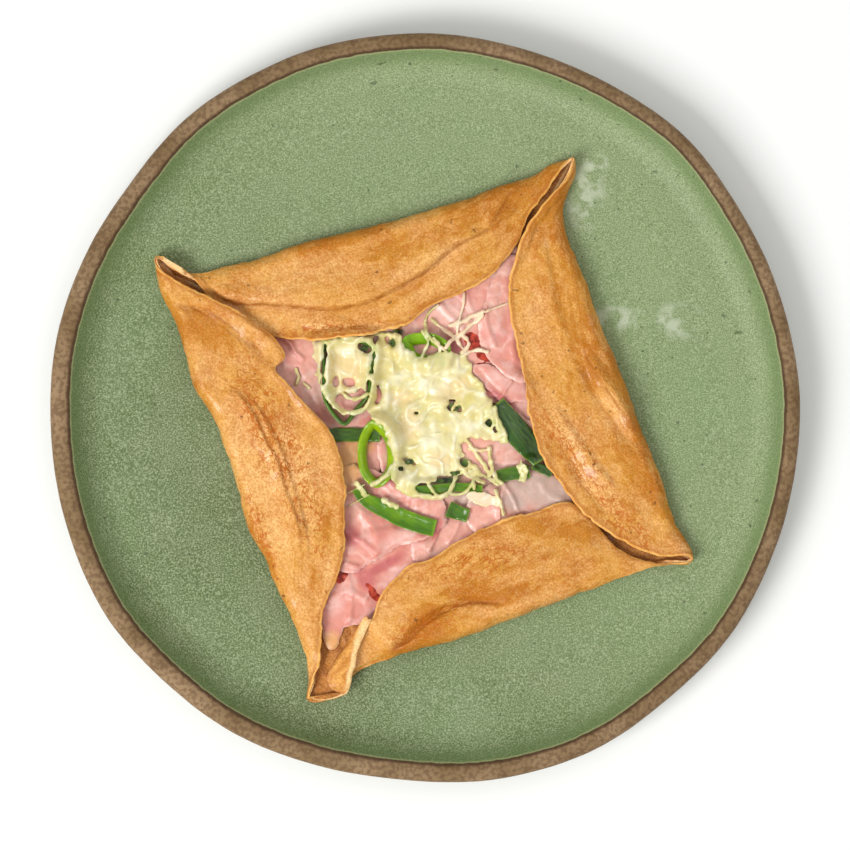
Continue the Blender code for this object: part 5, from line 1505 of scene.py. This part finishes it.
for start, flip in ((0, False), (inner_start, True)):
    for k in range(count):
        after = (k + 1) % count
        fan = [start, start + 1 + k, start + 1 + after]
        faces.append(fan[::-1] if flip else fan)
        for row in range(layers - 1):
            a = start + 1 + row * count
            quad = [a + k, a + count + k, a + count + after, a + after]
            faces.append(quad[::-1] if flip else quad)
last = 1 + (layers - 1) * count
for k in range(count):
    after = (k + 1) % count
    faces.append([last + k, inner_start + last + k, inner_start + last + after, last + after])
flat_x, flat_y = points[:, 0], points[:, 1]


def on_both_skins(middle, field):
    """A value for each point: the sheet's middle and its rows, on both of its faces."""
    field = np.broadcast_to(field, (layers, count)).ravel()
    return np.concatenate([[middle], field, [middle], field])


# Creases, and the foot of each steep fold, are darker: painted shade, with some browning trapped in
# them.
valley = np.zeros(len(points))
for line, height, to_left, to_right in FOLDS:
    away, left = beside_line(flat_x, flat_y, smooth_path(line, 2.0))
    sharp = min(to_left, to_right)
    beyond = 0.0 if height < 0 else 0.9 * sharp
    on_steep = left == (to_left < to_right) if height > 0 else True
    line_shade = min(1.0, abs(height) / 2) * np.exp(-((away - beyond) / 0.7) ** 2)
    valley = np.maximum(valley, line_shade * on_steep * (sharp < 1.1))
across_steps = np.linalg.norm(np.diff(grid, axis=0), axis=2)
across_sheet = np.cumsum(np.vstack([np.zeros(count), across_steps]), axis=0)
share = flap_share[:, None]
crepe = mesh_piece("crepe_sheet", points, faces, crepe_finish(), {
    "from_rim": on_both_skins(50.0, from_rim),
    "along": on_both_skins(0.0, path_knots(outer)),
    "across": on_both_skins(0.0, across_sheet),
    "flap": on_both_skins(0.0, side_of * 0.3),
    "lapel": on_both_skins(0.0, lapel * (share > CREST_SHARE)),
    "valley": valley,
    "turned_edge": on_both_skins(0.0, lapel * np.exp(-((share - CREST_SHARE) / 0.035) ** 2)),
    "inside": (np.arange(len(points)) >= inner_start).astype(float),
    "laced": spots(flat_x, flat_y, LACED),
    "toast": spots(flat_x, flat_y, TOAST) - spots(flat_x, flat_y, PALE)}, sharp=80)
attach(crepe, "root")
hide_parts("crepe")


# The studio: a pale floor, a big soft light from the near left as from a window, a weaker
# one opposite, and a camera that looks straight down on the plate.
FLOOR_HALF = 2.0           # in metres, as the camera's height is
CAMERA_HEIGHT = 1.35
CAMERA_LENS = 154.0
CAMERA_Y = -6.4            # in millimetres, for the plate's place in the frame
# Each light: its name, where it hangs in metres, how wide it is, and its power in watts.
LIGHTS = (("window", (-0.75, -0.62, 1.05), 0.7, 17.0), ("fill", (0.9, 0.8, 1.1), 1.2, 5.0))
SKY = 0.55

floor_mesh = bpy.data.meshes.new("floor")
floor_mesh.from_pydata([(-FLOOR_HALF, -FLOOR_HALF, 0), (FLOOR_HALF, -FLOOR_HALF, 0),
                        (FLOOR_HALF, FLOOR_HALF, 0), (-FLOOR_HALF, FLOOR_HALF, 0)], [], [(0, 1, 2, 3)])
floor = bpy.data.objects.new("floor", floor_mesh)
bpy.context.scene.collection.objects.link(floor)
pale_floor = new_finish("pale_floor", {"Base Color": paint(244, 244, 242), "Roughness": 0.9})[0]
floor_mesh.materials.append(pale_floor)


def soft_light(name, place, size, watts):
    """A square light that faces the plate."""
    lamp = bpy.data.lights.new(name, "AREA")
    lamp.shape = "SQUARE"
    lamp.size = size
    lamp.energy = watts
    made = bpy.data.objects.new(name, lamp)
    made.location = place
    made.rotation_mode = "QUATERNION"
    made.rotation_quaternion = made.location.to_track_quat("Z", "Y")
    bpy.context.scene.collection.objects.link(made)


for light in LIGHTS:
    soft_light(*light)
world = bpy.data.worlds.new("studio")
world.use_nodes = True
background = world.node_tree.nodes["Background"]
background.inputs["Color"].default_value = (1.0, 1.0, 1.0, 1.0)
background.inputs["Strength"].default_value = SKY
bpy.context.scene.world = world
bpy.context.scene.view_settings.view_transform = "Standard"

lens = bpy.data.cameras.new("camera")
lens.lens = CAMERA_LENS
lens.sensor_width = 36.0
camera = bpy.data.objects.new("camera", lens)
camera.location = (0.0, CAMERA_Y * MM, CAMERA_HEIGHT)
bpy.context.scene.collection.objects.link(camera)
bpy.context.scene.camera = camera
